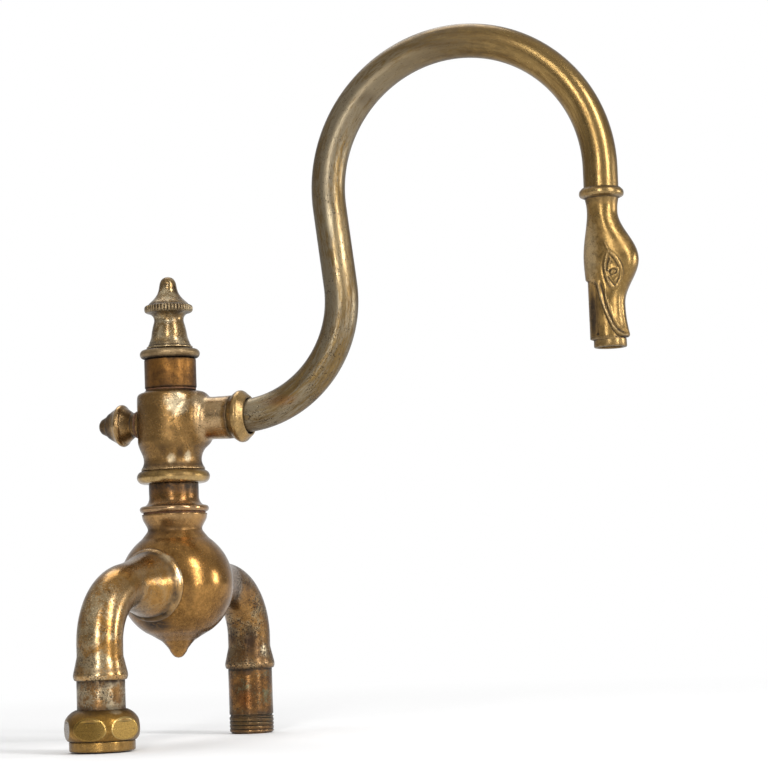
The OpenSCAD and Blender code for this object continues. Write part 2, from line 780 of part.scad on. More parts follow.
// Everything below a plane through the beak's corner that falls towards the front
module below_beak(tilt) {
    translate([beak_corner_x, 0, beak_corner_z]) rotate([0, tilt, 0])
        translate([-head_l, -head_l / 2, -head_l]) cube([2 * head_l, head_l, head_l]);
}
module swan_head() {
    color("#b0884a") swung() translate([reach, 0, 0]) difference() {
        union() {
            difference() {
                head_skin();
                below_beak(beak_edge_tilt);
                below_beak(beak_lip_tilt);
            }
            spin() {
                ring2(head_bead_r, head_bead_z + head_bead_h / 2, head_bead_h / 2 - 0.4);
                taper2(throat_r + 1.4, head_bead_z, head_bead_r - 1.2, head_bead_z + 1);
                disc2(head_bead_r - 1, head_bead_z + 0.6, head_bead_z + head_bead_h);
                disc2(nozzle_r, head_z + nozzle_ring_h - edge, skull_z);
            }
            translate([nozzle_forward, 0, head_z]) cylinder(r = nozzle_ring_r, h = nozzle_ring_h);
        }
        spin() {
            disc2(tube_r + braze_gap, tube_end_z, head_bead_z + head_bead_h + past);
            disc2(throat_bore_r, head_z + nozzle_bore_l - past, tube_end_z + past);
        }
        translate([nozzle_forward, 0, head_z - past]) cylinder(r = nozzle_bore_r, h = nozzle_bore_l + past);
    }
}

// Valve

module jumper_valve() {
    color("#a9864a") swung() spin() {
        disc2(stud_r, seat_z - stud_nut_h - 0.8, disc_z);
        disc2(valve_disc_r, disc_z, spindle_z);
        disc2(jumper_stem_r, spindle_z, spindle_z + jumper_stem_l);
    }
}
module valve_washer() {
    color("#2f2b28") swung() spin() difference() {
        disc2(valve_disc_r - 0.3, seat_z, disc_z);
        disc2(stud_r + thread_gap, seat_z - past, disc_z + past);
    }
}
module washer_nut() {
    color("#a9864a") swung() difference() {
        translate([0, 0, seat_z - stud_nut_h]) cylinder(r = seat_r - 1.6, h = stud_nut_h, $fn = 6);
        translate([0, 0, seat_z - stud_nut_h - past])
            cylinder(r = stud_r + thread_gap, h = stud_nut_h + 2 * past);
    }
}
module spindle() {
    step_z = knob_z + 2;
    color("#9a7a45") swung() difference() {
        union() {
            spin() {
                disc2(screw_r, spindle_z, screw_top_z);
                disc2(stem_r, screw_top_z, step_z);
            }
            translate([0, 0, step_z - 0.5 + socket_l / 2])
                cube([socket_square, socket_square, socket_l - 1], center = true);
        }
        translate([0, 0, spindle_z - past])
            cylinder(r = jumper_stem_r + run_gap, h = jumper_stem_l + past + 0.5);
    }
}
module knob_outline2() {
    flare_z = knob_z + 0.08 * knob_h;
    shoulder_z2 = knob_z + 0.155 * knob_h;
    bell_top = knob_z + 0.255 * knob_h;
    waist_z = knob_z + 0.39 * knob_h;
    rim_z = knob_z + knob_rim_at * knob_h;
    dome_z = knob_z + knob_h - knob_dome_r;
    difference() {
        union() {
            taper2(knob_bell_r, knob_z, knob_bell_r - 0.5, knob_z + 1.1);
            taper2(knob_bell_r - 0.85, knob_z + 1, knob_bell_r - 1.1, flare_z);
            taper2(knob_bell_r - 1.1, flare_z, knob_bell_r - 2.1, shoulder_z2);
            taper2(knob_bell_r - 2.1, shoulder_z2, knob_waist_r + 0.95, bell_top);
            taper2(knob_waist_r + 0.95, bell_top, knob_waist_r, waist_z);
            disc2(knob_waist_r + 3, waist_z, rim_z);
            ring2(knob_rim_r, rim_z, knob_rim_half);
            taper2(knob_rim_r - 1.6, rim_z + knob_rim_half - 0.4, knob_dome_r, dome_z);
            dome2(knob_dome_r, dome_z);
        }
        cove2(knob_waist_r, waist_z, 3.2);
        cove2(knob_dome_r, dome_z - 0.7, cone_round);
    }
}
module knob() {
    teeth = 44;
    tooth = 0.9;
    rim_z = knob_z + knob_rim_at * knob_h;
    step_z = knob_z + 2;
    color("#a88d5e") swung() difference() {
        spin() knob_outline2();
        for (i = [0 : teeth - 1])
            rotate([0, 0, 360 * i / teeth]) translate([knob_rim_r + 0.15, 0, rim_z]) rotate([0, 0, 45])
                cube([tooth, tooth, 5], center = true);
        translate([0, 0, knob_z - past]) cylinder(r = stem_r + run_gap, h = step_z - knob_z + past);
        translate([0, 0, step_z - 0.5 + socket_l / 2])
            cube([socket_square + 2 * run_gap, socket_square + 2 * run_gap, socket_l], center = true);
        translate([0, 0, knob_z + knob_screw_rise]) rotate([-90, 0, 0])
            cylinder(r = knob_screw_r + thread_gap, h = knob_bell_r);
    }
}
// Drawn outwards from the flat of the spindle that it bears on
module knob_screw() {
    color("#6b6255") swung() translate([0, socket_square / 2, knob_z + knob_screw_rise]) rotate([-90, 0, 0])
        difference() {
            cylinder(r = knob_screw_r, h = knob_screw_l);
            translate([-knob_screw_r - past, -0.25, knob_screw_l - 0.8])
                cube([2 * (knob_screw_r + past), 0.5, past]);
        }
}

mixing_bulb();
left_leg();
right_leg();
left_tail();
right_tail();
left_tail_collar();
union_washer();
union_nut();
swivel_post();
post_washer();
valve_seat();
swivel_body();
swivel_nut();
swivel_packing();
side_plug();
side_plug_washer();
bonnet();
bonnet_washer();
gland_nut();
gland_packing();
spout_ferrule();
swan_neck();
swan_head();
jumper_valve();
valve_washer();
washer_nut();
spindle();
knob();
knob_screw();
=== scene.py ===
"""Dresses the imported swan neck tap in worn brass. The carved head, the milled knob, the bent spout
and the other pieces whose shape shows most are made anew over the same solids."""
import math

import bmesh
import bpy
import numpy as np
from mathutils import Matrix, Quaternion, Vector
from mathutils.noise import noise as noise3


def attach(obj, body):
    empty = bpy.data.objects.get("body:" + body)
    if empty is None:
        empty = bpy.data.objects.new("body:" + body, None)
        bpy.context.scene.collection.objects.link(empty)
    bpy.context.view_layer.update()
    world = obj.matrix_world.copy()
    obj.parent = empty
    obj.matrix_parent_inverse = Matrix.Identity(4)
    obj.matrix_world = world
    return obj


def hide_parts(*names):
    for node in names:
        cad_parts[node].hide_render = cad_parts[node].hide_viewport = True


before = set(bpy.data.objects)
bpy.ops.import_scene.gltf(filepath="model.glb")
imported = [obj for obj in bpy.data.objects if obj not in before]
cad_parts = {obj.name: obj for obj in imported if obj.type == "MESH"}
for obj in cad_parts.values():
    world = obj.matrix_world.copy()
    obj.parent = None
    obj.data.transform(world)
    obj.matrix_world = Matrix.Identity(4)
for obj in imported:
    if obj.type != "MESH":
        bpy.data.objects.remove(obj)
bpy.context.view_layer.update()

# Sizes and places in mm, with the values that the part's source has
MM = 0.001
SWING = math.radians(8)          # the spout's turn at rest
LEG_Y = 65.0                     # half the inlet spacing
LEG_Z = 59.0                     # height of the legs' level part
ARM_Z = 133.6
REACH = 204.7
BEND_START = 33.5
LOW_BEND = 50.5
BOW_BACK = 79.5
CROWN_RISE = 160.6
TUBE_R = 7.55
TUBE_WALL = 1.2
TUBE_START = 24.2                # how far out the tube begins inside the arm
HIGH_BEND = (REACH - BOW_BACK) / 2
HIGH_Z = ARM_Z + CROWN_RISE - HIGH_BEND
BEAD_Z = HIGH_Z - 9 - 4.8        # underside of the head's bead
HEAD_L = 64.7
HEAD_Z = BEAD_Z - HEAD_L         # the outlet
KNOB_Z = 166.6
FLOOR_Z = -11.7
NUT_FLAT = 15.2                  # from the nut's axis to a flat
NUT_TURN = math.radians(13)
ARM_TURN = (0, 0, -SWING)


# Colour and nodes

def tone(text):
    """A colour written as in a paint chart, made linear."""
    rgb = [int(text[i:i + 2], 16) / 255 for i in (1, 3, 5)]
    return tuple(c / 12.92 if c <= 0.04045 else ((c + 0.055) / 1.055) ** 2.4 for c in rgb) + (1.0,)


def add(tree, kind, **values):
    node = tree.nodes.new(kind)
    for key, value in values.items():
        setattr(node, key, value)
    return node


def put(tree, socket, value):
    """Wires a socket to another, or writes a plain value on it."""
    if isinstance(value, bpy.types.NodeSocket):
        tree.links.new(value, socket)
    elif value is not None:
        socket.default_value = value


def maths(work):
    """A function that lays one kind of math node between its values."""
    def lay(tree, a, b=None, c=None, clamp=False):
        node = add(tree, "ShaderNodeMath", operation=work, use_clamp=clamp)
        for i, value in enumerate((a, b, c)):
            put(tree, node.inputs[i], value)
        return node.outputs[0]
    return lay


plus, minus, times, over = maths("ADD"), maths("SUBTRACT"), maths("MULTIPLY"), maths("DIVIDE")
times_plus, larger, absolute = maths("MULTIPLY_ADD"), maths("MAXIMUM"), maths("ABSOLUTE")


def vectors(tree, work, a, b=None, out="Vector"):
    node = add(tree, "ShaderNodeVectorMath", operation=work)
    put(tree, node.inputs[0], a)
    put(tree, node.inputs[1], b)
    return node.outputs[out]


def split(tree, vector, kind="ShaderNodeSeparateXYZ"):
    node = add(tree, kind)
    put(tree, node.inputs[0], vector)
    return node.outputs


def mix(tree, share, a, b, how="MIX"):
    node = add(tree, "ShaderNodeMix", data_type="RGBA", blend_type=how)
    put(tree, node.inputs[0], share)
    put(tree, node.inputs[6], a)
    put(tree, node.inputs[7], b)
    return node.outputs[2]


def span(tree, value, low, high, to_low=0.0, to_high=1.0, kind="SMOOTHSTEP"):
    node = add(tree, "ShaderNodeMapRange", interpolation_type=kind)
    for i, v in enumerate((value, low, high, to_low, to_high)):
        put(tree, node.inputs[i], v)
    return node.outputs[0]


def noise(tree, place, scale, detail=3.0, rough=0.55, warp=0.0):
    node = add(tree, "ShaderNodeTexNoise")
    put(tree, node.inputs["Vector"], place)
    put(tree, node.inputs["Scale"], scale)
    node.inputs["Detail"].default_value = detail
    node.inputs["Roughness"].default_value = rough
    node.inputs["Distortion"].default_value = warp
    return node.outputs["Fac"]


def relief(tree, shader, height, strength, depth):
    """A bump of so many mm that feeds the shader's normal."""
    bump = add(tree, "ShaderNodeBump")
    bump.inputs["Strength"].default_value = strength
    bump.inputs["Distance"].default_value = depth * MM
    put(tree, bump.inputs["Height"], height)
    put(tree, shader.inputs["Normal"], bump.outputs[0])


def blank(name):
    """A new material with its node tree and its shader."""
    material = bpy.data.materials.new(name)
    material.use_nodes = True
    return material, material.node_tree, material.node_tree.nodes["Principled BSDF"]


def group(name, values, outputs, vectors_in=("Vector",)):
    """A new shader group: its tree, the sockets that come in, and the inputs of its output node."""
    tree = bpy.data.node_groups.new(name, "ShaderNodeTree")
    for title in vectors_in:
        tree.interface.new_socket(title, in_out="INPUT", socket_type="NodeSocketVector")
    for title, value in values.items():
        socket = tree.interface.new_socket(title, in_out="INPUT", socket_type="NodeSocketFloat")
        socket.default_value = value
    for title in outputs:
        tree.interface.new_socket(title, in_out="OUTPUT", socket_type="NodeSocketFloat")
    return tree, add(tree, "NodeGroupInput").outputs, add(tree, "NodeGroupOutput").inputs


def make_film():
    """Clouds of tarnish with a grainy edge. Share is how much of the surface they cover, Size is their
    width in metres."""
    grain_scale = 1150.0
    tree, i, o = group("tarnish_film", {"Size": 0.02, "Share": 0.5, "Edge": 0.15, "Grains": 0.55}, ["Mask"])
    cloud = noise(tree, i["Vector"], over(tree, 1.0, i["Size"]), 4.0, 0.6, 0.5)
    grains = noise(tree, i["Vector"], grain_scale, 5.0, 0.78)
    grains = times(tree, minus(tree, grains, 0.5), i["Grains"])
    cloud = plus(tree, cloud, grains)
    middle = span(tree, i["Share"], 0.0, 1.0, 0.72, 0.28, "LINEAR")
    low = minus(tree, middle, i["Edge"])
    high = plus(tree, middle, i["Edge"])
    put(tree, o["Mask"], span(tree, cloud, low, high))
    return tree


def make_pits():
    """Corrosion pits and dark specks, thick where a slow noise gathers them."""
    tree, i, o = group("corrosion_pits", {"Size": 0.001, "Share": 0.3}, ["Mask"])
    scale = over(tree, 1.0, i["Size"])
    slow = noise(tree, i["Vector"], times(tree, scale, 0.09), 3.0)
    field = span(tree, slow, 0.34, 0.66)
    spread = times(tree, times_plus(tree, field, 0.75, 0.25), i["Share"])
    specks = noise(tree, i["Vector"], scale, 3.0, 0.62, 0.3)
    level = times_plus(tree, spread, -0.23, 0.71)
    dark = span(tree, specks, level, plus(tree, level, 0.04))
    cells = add(tree, "ShaderNodeTexVoronoi")
    put(tree, cells.inputs["Vector"], i["Vector"])
    put(tree, cells.inputs["Scale"], times(tree, scale, 1.3))
    chance = split(tree, cells.outputs["Color"], "ShaderNodeSeparateColor")
    chosen = maths("LESS_THAN")(tree, chance[0], times(tree, spread, 0.5))
    wide = span(tree, chance[1], 0.0, 1.0, 0.18, 0.5, "LINEAR")
    spot = span(tree, cells.outputs["Distance"], times(tree, wide, 0.5), wide, 1.0, 0.0)
    put(tree, o["Mask"], larger(tree, dark, times(tree, spot, chosen)))
    return tree


def make_grain():
    """Fine casting grain, and the faint rings that turning and polishing leave along the third axis."""
    tree, i, o = group("metal_grain", {"Size": 0.0006, "Rings": 0.3, "Along": 0.0},
                       ["Height", "Mottle", "Streak"])
    scale = over(tree, 1.0, i["Size"])
    fine = noise(tree, i["Vector"], scale, 5.0, 0.7)
    mottle = noise(tree, i["Vector"], times(tree, scale, 0.3), 6.0, 0.74, 0.3)
    squeezed = vectors(tree, "MULTIPLY", i["Vector"], (0.04, 0.04, 1.0))
    rings = noise(tree, squeezed, times(tree, scale, 0.9), 2.0, 0.5)
    pulled = vectors(tree, "MULTIPLY", i["Vector"], (1.0, 1.0, 0.35))
    streak = noise(tree, pulled, times(tree, scale, 0.55), 4.0, 0.6, 0.6)
    lines = times(tree, rings, i["Rings"])
    lines = times_plus(tree, streak, i["Along"], lines)
    put(tree, o["Height"], plus(tree, fine, lines))
    put(tree, o["Mottle"], mottle)
    put(tree, o["Streak"], span(tree, streak, 0.57, 0.66))
    return tree


def make_spot():
    """One spot round Centre that fades out at Reach from it, with an edge that Wobble makes ragged. It marks
    stains, worn places, painted highlights and painted shade.
    """
    tree, i, o = group("single_spot", {"Wobble": 0.5, "Strength": 1.0}, ["Mask"],
                       ("Vector", "Centre", "Reach"))
    off = vectors(tree, "SUBTRACT", i["Vector"], i["Centre"])
    far = vectors(tree, "LENGTH", vectors(tree, "DIVIDE", off, i["Reach"]), out="Value")
    far = times_plus(tree, minus(tree, i["Wobble"], 0.5), 1.1, far)
    put(tree, o["Mask"], span(tree, far, 1.0, 0.3, 0.0, i["Strength"]))
    return tree


FILM = make_film()
PITS = make_pits()
GRAIN = make_grain()
SPOT = make_spot()


def use(tree, made, **values):
    node = add(tree, "ShaderNodeGroup", node_tree=made)
    for key, value in values.items():
        put(tree, node.inputs[key], value)
    return node.outputs


def ramp(tree, value, stops):
    """stops: (position in mm, dirt, wear). Red of the ramp is dirt and green is wear."""
    low, high = stops[0][0], stops[-1][0]
    where = span(tree, value, low * MM, high * MM, 0.0, 1.0, "LINEAR")
    node = add(tree, "ShaderNodeValToRGB")
    bar = node.color_ramp
    bar.interpolation = "EASE"
    while len(bar.elements) < len(stops):
        bar.elements.new(0.5)
    for element, (at, dirt, wear) in zip(bar.elements, stops):
        element.position = (at - low) / (high - low)
    for element, (at, dirt, wear) in zip(bar.elements, stops):
        element.color = (dirt, wear, 0.0, 1.0)
    put(tree, node.inputs[0], where)
    masks = split(tree, node.outputs[0], "ShaderNodeSeparateColor")
    return masks[0], masks[1]


def banded(tree, at, grit, bands, dirt_and_shade, rubbed):
    """Adds dirt and wear that change along an axis. A | before the axis takes both its sides alike."""
    for axis, stops in bands:
        value = at["XYZ".index(axis[-1])]
        if axis[0] == "|":
            value = absolute(tree, value)
        wavy = times_plus(tree, grit["Mottle"], 1.2 * MM, value)
        wavy = minus(tree, wavy, 0.6 * MM)
        dirt, wear = ramp(tree, wavy, stops)
        dirt_and_shade = larger(tree, dirt_and_shade, dirt)
        rubbed = larger(tree, rubbed, wear)
    return dirt_and_shade, rubbed


def stained(tree, here, grit, spots, dirt_and_shade, rubbed):
    """Adds the single spots of dirt and wear, some of them painted shade, and gives back those that tint the
    metal: painted highlights, painted shade and painted reflections, rust and green.
    """
    tints = []
    for kind, centre, reach, strength in spots:
        mask = use(tree, SPOT, Vector=here, Centre=[c * MM for c in centre], Reach=[c * MM for c in reach],
                   Wobble=grit["Mottle"], Strength=strength)["Mask"]
        if kind == "dirt":
            dirt_and_shade = larger(tree, dirt_and_shade, mask)
        elif kind == "wear":
            rubbed = larger(tree, rubbed, mask)
        else:
            tints.append((kind, mask))
    return dirt_and_shade, rubbed, tints


def nut_flats(tree, place):
    """Where the six flats of the nut lie, and the thin line round each that takes a painted highlight."""
    x, y, _ = split(tree, vectors(tree, "ADD", place, (0, LEG_Y * MM, 0)))
    squares = plus(tree, times(tree, x, x), times(tree, y, y))
    away = maths("SQRT")(tree, squares)
    turn = plus(tree, maths("ARCTAN2")(tree, y, x), 2 * math.tau - NUT_TURN)
    fold = minus(tree, maths("MODULO")(tree, turn, math.pi / 3), math.pi / 6)
    level = times(tree, away, maths("COSINE")(tree, fold))
    level = absolute(tree, minus(tree, level, NUT_FLAT * MM))
    flat = span(tree, level, 0.1 * MM, 0.03 * MM)
    line = span(tree, level, 0.34 * MM, 0.12 * MM)
    line = times(tree, line, minus(tree, 1.0, flat))
    return flat, line


# Tints for single spots. Most pale spots are painted highlights and most dark spots painted shade and painted
# dark reflections; rust and green are the metal's own colours, except one painted orange reflection under the
# arm
TINTS = {"pale": "#d6c4a0", "dark": "#33241a", "rust": "#7a4a24", "green": "#4a4a30"}
DULL = (0.42, 0.35, 0.28, 1.0)   # what dulls a colour in the blotches and streaks
RUBBED = (1.0, 0.86, 0.6, 1.0)   # what lightens it where hands and cloths have rubbed
PIT_TONE = "#2c2013"
# painted light and shade on the nut's flats: a shaded and a lit tone of one brass, and a painted highlight
# for the line round each flat
FLATS_SHADED, FLATS_LIT = "#7a6030", "#aa8a4c"
EDGE_HIGHLIGHT_SHADED, EDGE_HIGHLIGHT_LIT = "#a88c4c", "#d8c080"
RIM_SHADE = 0.5                  # painted shade: brightness left in the colour where the surface turns away from the eye
GRAIN_SIZE = 0.6                 # mm
BUMP_DEPTH, SOFT_BUMP_DEPTH = 0.14, 0.1     # mm
BUMP_STRENGTH = 0.6
SMALL_CLOUDS = 0.22              # their size as a share of the large ones
NICKEL_COVER, PIT_COVER = 0.75, 0.9


def brass(name, worn, film, dirt, share=0.5, size=18, rough=(0.24, 0.46), metal=(0.98, 0.74), pits=0.1,
          pit_size=0.8, nickel=0, nickel_size=9, nickel_tone="#a89f90", nickel_side=None, rough_side=None,
          dull_side=None, bands=(), grain=0.3, rings=0.3, mottle=0.35, place=None, turn=None, streak=0,
          flats=False, spots=()):
    """Worn, tarnished brass. share and size set the tarnish, bands the dirt and wear along an axis.
    spots are single stains, worn places, painted highlights and painted shade: kind, centre and reach in mm,
    strength. A side is an axis and the two places on it between which something changes."""
    material, tree, shader = blank(name)
    here = add(tree, "ShaderNodeTexCoord").outputs["Object"]
    plain = add(tree, "ShaderNodeAttribute", attribute_name=place).outputs["Vector"] if place else here
    source = plain
    if turn:
        mapping = add(tree, "ShaderNodeMapping", vector_type="POINT")
        put(tree, mapping.inputs["Vector"], source)
        mapping.inputs["Rotation"].default_value = turn
        source = mapping.outputs[0]
    at = split(tree, here)

    def along(axis, low, high, to_low=0.0, to_high=1.0):
        return span(tree, at["XYZ".index(axis)], low * MM, high * MM, to_low, to_high)

    if dull_side:
        share = along(*dull_side)
    side = 1.0
    if rough_side:
        side = along(*rough_side, 0.3)
        pits = times(tree, side, pits)
    fog = use(tree, FILM, Vector=plain, Size=size * MM, Share=share)["Mask"]
    fog_small = use(tree, FILM, Vector=here, Size=size * SMALL_CLOUDS * MM, Share=share, Edge=0.16)["Mask"]
    pit = use(tree, PITS, Vector=here, Size=pit_size * MM, Share=pits)["Mask"]
    grit = use(tree, GRAIN, Vector=source, Size=GRAIN_SIZE * MM, Rings=rings, Along=streak)

    # tarnish, blotches and streaks
    film_mask = times_plus(tree, fog, 0.7, times(tree, fog_small, 0.3))
    colour = mix(tree, film_mask, tone(worn), tone(film))
    blotch = span(tree, grit["Mottle"], 0.36, 0.64)
    dull = mix(tree, 1.0, colour, DULL, "MULTIPLY")
    colour = mix(tree, times(tree, blotch, mottle), colour, dull)
    if streak:
        colour = mix(tree, times(tree, grit["Streak"], streak), colour, dull)

    # what is left of the nickel plating
    if nickel:
        plating = use(tree, FILM, Vector=plain, Size=nickel_size * MM, Share=nickel, Edge=0.09, Grains=0.8)
        if nickel_side:
            side = along(*nickel_side)
        skin = times(tree, plating["Mask"], side)
        colour = mix(tree, times(tree, skin, NICKEL_COVER), colour, tone(nickel_tone))
        film_mask = times(tree, film_mask, times_plus(tree, skin, -0.4, 1.0))

    # dirt in the grooves and wear on the edges
    crease = add(tree, "ShaderNodeAttribute", attribute_name="crease").outputs["Fac"]
    dirt_and_shade = span(tree, crease, -0.05, -0.42)
    rubbed = times(tree, span(tree, crease, 0.25, 0.9), 0.6)
    dirt_and_shade, rubbed = banded(tree, split(tree, source) if turn else at, grit, bands, dirt_and_shade, rubbed)
    dirt_and_shade, rubbed, tints = stained(tree, here, grit, spots, dirt_and_shade, rubbed)
    rub = times(tree, rubbed, span(tree, grit["Mottle"], 0.7, 0.35, 0.5, 1.0))
    colour = mix(tree, rub, colour, mix(tree, 0.22, tone(worn), RUBBED))
    film_mask = times(tree, film_mask, minus(tree, 1.0, rub))
    # pale tints are mostly painted highlights, broken up by the grain as a glint on rough metal; dark tints
    # are mostly painted shade and painted dark reflections
    for kind, mask in tints:
        if kind == "pale":
            mask = times(tree, mask, span(tree, grit["Height"], 0.42, 0.6, 0.3, 1.0))
        colour = mix(tree, mask, colour, tone(TINTS[kind]))
    # painted light and shade: the flats go from a shaded tone at low X to a lit one at high X, and the line
    # round each is a painted highlight
    if flats:
        flat, line = nut_flats(tree, here)
        lit_east = along("X", 4.0, 13.0)
        face = mix(tree, lit_east, tone(FLATS_SHADED), tone(FLATS_LIT))
        colour = mix(tree, times(tree, flat, 0.85), colour, face)
        edge = mix(tree, lit_east, tone(EDGE_HIGHLIGHT_SHADED), tone(EDGE_HIGHLIGHT_LIT))
        colour = mix(tree, times(tree, line, 0.5), colour, edge)
        film_mask = times(tree, film_mask, times_plus(tree, flat, -0.8, 1.0))
    # the dirt mask holds dirt, and at a few spots painted shade as well
    black = times(tree, dirt_and_shade, span(tree, grit["Mottle"], 0.34, 0.6, 0.6, 1.0))
    colour = mix(tree, black, colour, tone(dirt))
    colour = mix(tree, times(tree, pit, PIT_COVER), colour, tone(PIT_TONE))

    # painted shade where the surface turns away from the eye, then metal, roughness and relief
    edge = add(tree, "ShaderNodeLayerWeight")
    edge.inputs["Blend"].default_value = 0.5
    # painted shade: the colour is scaled down towards the outline
    thick = add(tree, "ShaderNodeVectorMath", operation="SCALE")
    put(tree, thick.inputs[0], colour)
    put(tree, thick.inputs["Scale"], span(tree, edge.outputs["Facing"], 0.35, 0.95, 1.0, RIM_SHADE))
    put(tree, shader.inputs["Base Color"], thick.outputs[0])
    lossy = larger(tree, black, times(tree, pit, 0.8))
    bright = span(tree, film_mask, 0.0, 1.0, metal[0], metal[1], "LINEAR")
    bare = times_plus(tree, lossy, -0.7, 1.0)
    put(tree, shader.inputs["Metallic"], times(tree, bright, bare, clamp=True))
    matt = times_plus(tree, blotch, 0.35, times(tree, film_mask, 0.65))
    matt = span(tree, matt, 0.0, 1.0, rough[0], rough[1], "LINEAR")
    put(tree, shader.inputs["Roughness"], times_plus(tree, lossy, 0.3, matt, clamp=True))
    shader.inputs["Specular IOR Level"].default_value = 0.3
    height = times_plus(tree, grit["Height"], grain, times(tree, pit, -1.0))
    height = times_plus(tree, grit["Mottle"], grain * 0.9, height)
    relief(tree, shader, height, BUMP_STRENGTH, BUMP_DEPTH)
    return material


def soft(name, light, dark, size=2.0, rough=0.8, weave=0.5):
    """A dull packing or washer material."""
    material, tree, shader = blank(name)
    place = add(tree, "ShaderNodeTexCoord").outputs["Object"]
    fog = use(tree, FILM, Vector=place, Size=size * MM, Share=0.5)["Mask"]
    grit = use(tree, GRAIN, Vector=place, Size=0.4 * MM, Rings=weave)
    put(tree, shader.inputs["Base Color"], mix(tree, fog, tone(light), tone(dark)))
    matt = span(tree, grit["Mottle"], 0.2, 0.8, rough - 0.1, min(1.0, rough + 0.1), "LINEAR")
    put(tree, shader.inputs["Roughness"], matt)
    relief(tree, shader, grit["Height"], 1.0, SOFT_BUMP_DEPTH)
    return material


# Shapes

def near(edges, values, count):
    """Each vertex's average of its neighbours."""
    total = np.zeros((count,) + values.shape[1:])
    np.add.at(total, edges[:, 0], values[edges[:, 1]])
    np.add.at(total, edges[:, 1], values[edges[:, 0]])
    degree = np.bincount(edges.ravel(), minlength=count)
    return total / np.maximum(degree, 1).reshape((-1,) + (1,) * (values.ndim - 1))


def read(items, field, count, width=3, kind=float):
    """A field of a mesh's vertices, normals or edges, one row each."""
    values = np.empty(count * width, kind)
    items.foreach_get(field, values)
    return values.reshape(-1, width)


def mark_creases(mesh, passes=2):
    """Writes how sharply the surface turns at each vertex, per mm: above 0 at edges, below 0 in grooves."""
    count = len(mesh.vertices)
    co = read(mesh.vertices, "co", count)
    normal = read(mesh.vertex_normals, "vector", count)
    edges = read(mesh.edges, "vertices", len(mesh.edges), 2, int)
    run = co[edges[:, 1]] - co[edges[:, 0]]
    bend = ((normal[edges[:, 1]] - normal[edges[:, 0]]) * run).sum(1) / np.maximum((run ** 2).sum(1), 1e-12)
    total = np.bincount(edges[:, 0], bend, count) + np.bincount(edges[:, 1], bend, count)
    value = total / np.maximum(np.bincount(edges.ravel(), minlength=count), 1) * MM
    for _ in range(passes):
        value = 0.4 * value + 0.6 * near(edges, value, count)
    mark = mesh.attributes.new("crease", "FLOAT", "POINT")
    mark.data.foreach_set("value", np.clip(value, -3, 3).astype(np.float32))


def stand(name, data):
    """An object of its own in the scene for a mesh, a lamp or the camera."""
    made = bpy.data.objects.new(name, data)
    bpy.context.scene.collection.objects.link(made)
    return made


def piece(name, bm, material, body, slot, *nodes, blur=2):
    """Makes a finished piece of a bmesh: normals outward, shaded smooth, riding its body."""
    bmesh.ops.recalc_face_normals(bm, faces=bm.faces)
    mesh = bpy.data.meshes.new(name)
    bm.to_mesh(mesh)
    bm.free()
    made = stand(name, mesh)
    mesh.materials.append(material)
    mesh.shade_smooth()
    mark_creases(mesh, blur)
    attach(made, body)
    if nodes:
        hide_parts(*nodes)
    return made


def upright(y, r, angle, h):
    """Places in metres on an upright axis of its own that stands y mm to the side."""
    return np.stack([r * np.cos(angle), y + r * np.sin(angle), h], 1) * MM


def swung(points):
    """Turns points (rows of u, v, z in mm about the swivel axis) to the spout's rest and into metres."""
    p = np.asarray(points, float)
    c, s = math.cos(SWING), math.sin(SWING)
    return np.stack([c * p[:, 0] - s * p[:, 1], s * p[:, 0] + c * p[:, 1], p[:, 2]], 1) * MM


def places(bm):
    return np.array([v.co for v in bm.verts])


def move(bm, spots):
    for vert, at in zip(bm.verts, spots):
        vert.co = at


def wound(rings, sides, place):
    """Spins a chain of ring marks into a tube of faces, then sets each vertex by place(ring, angle)."""
    bm = bmesh.new()
    chain = [bm.verts.new((1.0, 0.0, i * 0.1)) for i in range(rings)]
    edges = [bm.edges.new(pair) for pair in zip(chain, chain[1:])]
    bmesh.ops.spin(bm, geom=chain + edges, cent=(0, 0, 0), axis=(0, 0, 1), dvec=(0, 0, 0),
                   angle=math.tau, steps=sides, use_merge=True)
    co = places(bm)
    ring = np.rint(co[:, 2] / 0.1).astype(int)
    angle = np.arctan2(co[:, 1], co[:, 0])
    move(bm, place(ring, angle))
    bmesh.ops.remove_doubles(bm, verts=bm.verts, dist=1e-6)
    return bm


def eased(points, step):
    """A smooth line through (radius, height) points, sampled about every step mm."""
    p = np.array(points, float)
    p = np.vstack([2 * p[0] - p[1], p, 2 * p[-1] - p[-2]])
    out = []
    for i in range(1, len(p) - 2):
        n = max(1, int(round(np.linalg.norm(p[i + 1] - p[i]) / step)))
        t = (np.arange(n) / n)[:, None]
        a = 0.5 * ((2 * p[i]) + (p[i + 1] - p[i - 1]) * t
                   + (2 * p[i - 1] - 5 * p[i] + 4 * p[i + 1] - p[i + 2]) * t ** 2
                   + (3 * p[i] - p[i - 1] - 3 * p[i + 1] + p[i + 2]) * t ** 3)
        out.append(a)
    return np.vstack(out + [p[-2:-1]])


def straight(points, step):
    """Straight runs between (radius, height) points, sampled about every step mm."""
    p = np.array(points, float)
    out = []
    for a, b in zip(p, p[1:]):
        n = max(1, int(round(np.linalg.norm(b - a) / step)))
        out.append(a + (b - a) * (np.arange(n) / n)[:, None])
    return np.vstack(out + [p[-1:]])


def hump(gap, width):
    return np.exp(-(gap / width) ** 2)


def step(value, low, high):
    """0 at low and 1 at high, with a soft start and end."""
    t = np.clip((value - low) / (high - low), 0, 1)
    return t * t * (3 - 2 * t)


def relax(bm, weight, passes):
    """Smooths a surface as far as weight (0 to 1 at each vertex) lets each vertex move."""
    co = places(bm)
    edges = np.array([(e.verts[0].index, e.verts[1].index) for e in bm.edges])
    for _ in range(passes):
        co += weight[:, None] * 0.6 * (near(edges, co, len(co)) - co)
    return co


